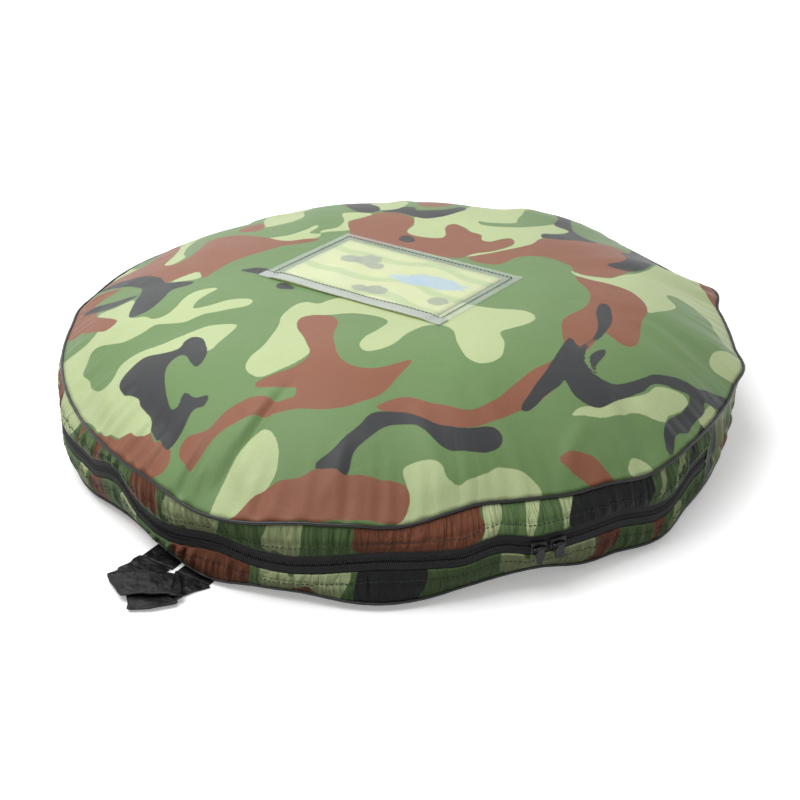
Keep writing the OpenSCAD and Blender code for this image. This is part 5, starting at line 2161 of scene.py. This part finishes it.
@dataclass
class FoldedBlind(SubAssembly):
    """What the bag holds: four hoops in their sleeves, four folded walls, the roof and the stake pouch."""

    hoop_r: float = 269 * MM
    twist: float = 5 * MM
    wire_r: float = 2 * MM
    sleeve_r: float = 3.1 * MM
    hoop_turns: int = 3
    wall_grid: tuple[int, int] = (180, 60)
    wall_layers: int = 5
    roof_grid: tuple[int, int] = (300, 90)
    roof_edge: float = 297 * MM

    def build(self) -> None:
        """Dresses every piece of the folded blind."""
        for k in range(1, 5):
            low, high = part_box(f"hoop_sleeve_{k}")
            middle = (low.z + high.z) / 2
            for name, radius, finish, slot in (
                    ("wire", self.wire_r, self.finishes.steel, "spring_steel"),
                    ("sleeve", self.sleeve_r, self.finishes.sleeve, "sleeve_cloth")):
                hoop = self._hoop(f"hoop_{name}_{k}_round", middle, radius)
                Bench.dress(hoop, finish)
                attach(hoop, "base")
                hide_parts(f"hoop_{name}_{k}")
            self._wall(k)
        self._roof()
        self._pouch()

    def _hoop(self, name: str, middle: float, radius: float) -> Piece:
        """One hoop folded to three turns that wind once round their own bundle.

        Args:
            name: the piece's name.
            middle: height of the bundle's middle.
            radius: of the wire or of its sleeve.

        Returns:
            The hoop, not yet dressed.
        """
        def surface(u: Array, v: Array) -> Points:
            """The skin of the wire or of its sleeve."""
            theta = u * TURN * self.hoop_turns
            wind = u * TURN
            ring = radius * np.cos(v * TURN)
            return polar(theta, self.hoop_r + self.twist * np.cos(wind) + ring,
                         middle + self.twist * np.sin(wind) + radius * np.sin(v * TURN))

        length = self.hoop_r * TURN * self.hoop_turns
        hoop = Bench.sheet(name, 96 * self.hoop_turns, 10, surface, strip_cloth(length, radius * TURN))
        Bench.weld(hoop)
        return hoop

    def _wall(self, k: int) -> None:
        """One folded wall: a stack of cloth whose layers show at its edge.

        Args:
            k: the wall's number, from 1 to 4.
        """
        low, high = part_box(f"wall_{k}")
        reach, tall = high.x - 0.5 * MM, high.z - low.z

        def surface(u: Array, v: Array) -> Points:
            """The stack's under face, its edge and its top, in one sheet."""
            theta = u * TURN
            side = np.clip((v - 0.35) / 0.3, 0, 1)
            flat = np.where(v < 0.5, np.clip(v / 0.35, 0, 1), np.clip((1 - v) / 0.35, 0, 1))
            edge = np.abs(np.sin(side * math.pi * self.wall_layers)) ** 0.6
            wander = 2.0 * MM * np.sin(theta * 7 + k) + 1.5 * MM * np.sin(theta * 17 + 2 * k)
            radius = flat * (reach - 7 * MM + wander * flat) + np.where(flat >= 1, edge * 3.5 * MM, 0.0)
            return polar(theta, radius, low.z + tall * (0.03 + 0.94 * side))

        piece = Bench.sheet(f"wall_{k}_folds", *self.wall_grid, surface, strip_cloth(reach * TURN, reach))
        points = surface(*grid_shares(*self.wall_grid))
        Camouflage.scattered(90 + k, (-260, -260), (260, 260)).paint(piece, points[:, :2] + points[:, 2:])
        Bench.weld(piece)
        Bench.dress(piece, self.finishes.blind_cloth)
        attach(piece, "base")
        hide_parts(f"wall_{k}")

    def _roof(self) -> None:
        """Folded roof on top of the stack, rumpled under the lid."""
        low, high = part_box("roof")
        reach = high.x - 1.0 * MM
        crown = self.bag.crown_r
        rng = np.random.default_rng(3)
        folds = [(rng.uniform(0, TURN), rng.uniform(0.03, 0.09), rng.uniform(0, TURN)) for _ in range(16)]

        def surface(u: Array, v: Array) -> Points:
            """The roof's top, then its piled edge down to the wall below."""
            theta = u * TURN
            out = np.clip(v / 0.8, 0, 1)
            radius = reach * out ** 0.8
            share = np.clip((radius - crown) / (self.roof_edge - crown), 0, 1)
            rise = self.bag.dome_h - math.tan(self.bag.lean) * radius
            top = np.minimum(high.z, self.bag.top_z + rise * (1 - share ** 2.4) - 2.0 * MM)
            flat = np.stack([radius * np.cos(theta), radius * np.sin(theta)], axis=1)
            rumple = np.zeros(len(u))
            for heading, length, start in folds:
                way = np.array([math.cos(heading), math.sin(heading)])
                rumple += np.abs(np.sin(flat @ way * math.pi / length + start))
            rumple = (rumple / len(folds) - 0.9) * 9 * MM - 2.0 * MM
            pile = np.abs(np.sin((1 - v) / 0.2 * math.pi * 4)) * 2.0 * MM * (v > 0.8)
            calm = smooth(0.09, 0.14, radius)
            height = np.where(v <= 0.8, top + np.minimum(rumple, 0) * calm,
                              low.z + (top + np.minimum(rumple, 0) - low.z) * np.clip((1 - v) / 0.2, 0, 1))
            return polar(theta, radius - pile, height)

        roof = Bench.sheet("roof_cloth", *self.roof_grid, surface, lambda a, b: surface(a, b)[:, :2])
        plan = surface(*grid_shares(*self.roof_grid))[:, :2]
        Camouflage.scattered(99, (-260, -260), (260, 260)).paint(roof, plan)
        Bench.cut(roof, face_up, 1.0 * MM, self.finishes.blind_cloth)
        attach(roof, "base")
        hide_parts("roof")

    def _pouch(self) -> None:
        """Stake pouch: a flat cloth bag, puffed over the stakes, with a turned seam round it."""
        low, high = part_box("stake_pouch")
        long, wide, tall = high.x - low.x, high.y - low.y, high.z - low.z
        middle = (low + high) / 2

        def surface(u: Array, v: Array) -> Points:
            """The pouch's under face, then its upper one."""
            theta = u * TURN
            out = np.where(v < 0.5, v * 2, (1 - v) * 2)
            c, s = np.cos(theta), np.sin(theta)
            power = 0.25
            x = np.sign(c) * np.abs(c) ** power * long / 2 * out ** 0.7
            y = np.sign(s) * np.abs(s) ** power * wide / 2 * out ** 0.7
            bars = 0.85 + 0.15 * np.abs(np.sin((y / wide + 0.5) * math.pi * 4))
            puff = tall / 2 * (1 - out ** 6) ** 0.5 * bars
            return np.stack([middle.x + x, middle.y + y, middle.z + np.where(v < 0.5, -puff, puff)], axis=1)

        pouch = Bench.sheet("stake_pouch_cloth", 160, 60, surface, lambda a, b: surface(a, b)[:, :2])
        Bench.weld(pouch)
        Bench.dress(pouch, self.finishes.sleeve)
        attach(pouch, "base")
        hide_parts("stake_pouch")


@dataclass
class Studio:
    """Pale floor, soft light and the camera at the photographed angle."""

    elevation: float = math.radians(30.26)
    distance: float = 1.5
    look_at: tuple[float, float, float] = (3.9 * MM, -50.3 * MM, 40 * MM)
    focal_px: float = 1701.0
    frame_px: float = 800.0
    sensor: float = 36.0
    horizon: float = 0.01
    zenith: float = 0.78

    def build(self) -> None:
        """Sets up everything that isn't the object."""
        self._camera()
        self._floor()
        self._world(self.horizon, self.zenith)
        self._lamp("key_softbox", (-0.75, -0.22, 2.0), 1.5, 36.0)
        self._lamp("back_softbox", (-0.7, 1.5, 1.3), 1.6, 9.0)
        bpy.context.scene.view_settings.view_transform = "Standard"

    def _camera(self) -> None:
        """Camera on the bag's front side."""
        data = bpy.data.cameras.new("camera")
        data.sensor_width = self.sensor
        data.lens = self.focal_px / self.frame_px * self.sensor
        camera = bpy.data.objects.new("camera", data)
        bpy.context.scene.collection.objects.link(camera)
        back = Vector((0, -math.cos(self.elevation), math.sin(self.elevation))) * self.distance
        camera.location = Vector(self.look_at) + back
        camera.rotation_euler = (math.pi / 2 - self.elevation, 0, 0)
        bpy.context.scene.camera = camera

    def _floor(self) -> None:
        """Wide pale floor that keeps the object's shadow."""
        Bench.clear()
        bpy.ops.mesh.primitive_plane_add(size=16.0)
        floor = bpy.context.object
        floor.name = "floor"
        sheet = NodeSheet("floor_paper")
        seen = sheet.seen()
        grain = sheet.noise(sheet.place(), 3.0) * 0.02 + 0.99
        parts = sheet.node("ShaderNodeSeparateXYZ", None, {0: sheet.place()})
        x, y = sheet.out(parts, "X"), sheet.out(parts, "Y")
        far = (((x * x + y * y).math("SQRT") - 0.5) / 1.6).clamped()
        tone = sheet.mix(seen, (0.1, 0.1, 0.1), (0.96, 0.96, 0.96))
        glow = sheet.mix(seen * (far * 0.5 + 0.32), (0.0, 0.0, 0.0), (1.0, 1.0, 1.0))
        Bench.dress(floor, sheet.finish({"Base Color": sheet.shade(tone, grain), "Roughness": 0.9,
                                         "Specular IOR Level": 0.1, "Emission Color": glow,
                                         "Emission Strength": 1.0}))
        floor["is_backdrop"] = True

    @staticmethod
    def _world(low: float, high: float) -> None:
        """Light that grows from the horizon to the zenith, and plain white where it is seen.

        Args:
            low: light from the horizon.
            high: light from the zenith.
        """
        world = bpy.data.worlds.new("studio")
        bpy.context.scene.world = world
        sheet = NodeSheet("studio", world)
        around = sheet.out(sheet.node("ShaderNodeTexCoord"), "Generated")
        way = sheet.node("ShaderNodeSeparateXYZ", None, {0: around})
        height = sheet.node("ShaderNodeMapRange", None, {
            "Value": sheet.out(way, "Z"), "From Min": 0.35, "To Min": low, "To Max": high})
        level = sheet.node("ShaderNodeMapRange", None, {
            "Value": sheet.seen(), "To Min": sheet.out(height), "To Max": 1.0})
        sky = sheet.node("ShaderNodeBackground", None, {"Color": (1, 1, 1), "Strength": sheet.out(level)})
        sheet.node("ShaderNodeOutputWorld", None, {"Surface": sheet.out(sky)})

    @staticmethod
    def _lamp(name: str, place: tuple[float, float, float], size: float, power: float) -> None:
        """One square soft lamp aimed at the bag.

        Args:
            name: the lamp's name.
            place: where it hangs, in metres.
            size: its width.
            power: its light, in watts.
        """
        data = bpy.data.lights.new(name, "AREA")
        data.shape = "SQUARE"
        data.size = size
        data.energy = power
        lamp = bpy.data.objects.new(name, data)
        lamp.location = place
        aim = Vector((0, 0, 60 * MM)) - Vector(place)
        lamp.rotation_euler = aim.to_track_quat("-Z", "Y").to_euler()
        bpy.context.scene.collection.objects.link(lamp)


# Sliders as (word, angle in degrees, way of the nose, pull's length and width at its tip in millimetres)
SLIDERS = (("left", 291.42, -1, 14, 3.6), ("right", 294.58, 1, 12, 7.2))


def dress_small_nodes(nodes: dict[str, Piece], finishes: Finishes) -> None:
    """Gives their finish to the solids that keep their own shape."""
    for name, material in (("zip_stops", finishes.metal), ("stakes", finishes.stake)):
        Bench.dress(nodes[name], material)


def main() -> None:
    """Builds the bag and what it holds, then the studio round it."""
    logging.basicConfig(level=logging.INFO, format="%(name)s: %(message)s")
    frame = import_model()
    Bench.clear()
    Studio().build()
    finishes = Finishes()
    bag = Bag.from_frame(frame["nodes"])
    TopPanel(bag, finishes).build()
    BottomPanel(bag, finishes).build()
    for side in GussetSide:
        Piping(bag, finishes, side).build()
        Gusset(bag, finishes, side).build()
        ZipHalf(bag, finishes, side).build()
    HingePanel(bag, finishes).build()
    for word, angle, nose, long, tip in SLIDERS:
        Slider(bag, finishes, word, math.radians(angle), nose, long * MM, tip * MM).build()
    Pocket(bag, finishes).build()
    Strap(bag, finishes).build()
    FoldedBlind(bag, finishes).build()
    dress_small_nodes(frame["nodes"], finishes)
    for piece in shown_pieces():
        LOG.info("%s, %d faces", piece.name, len(piece.data.polygons))


if __name__ == "__main__":
    main()
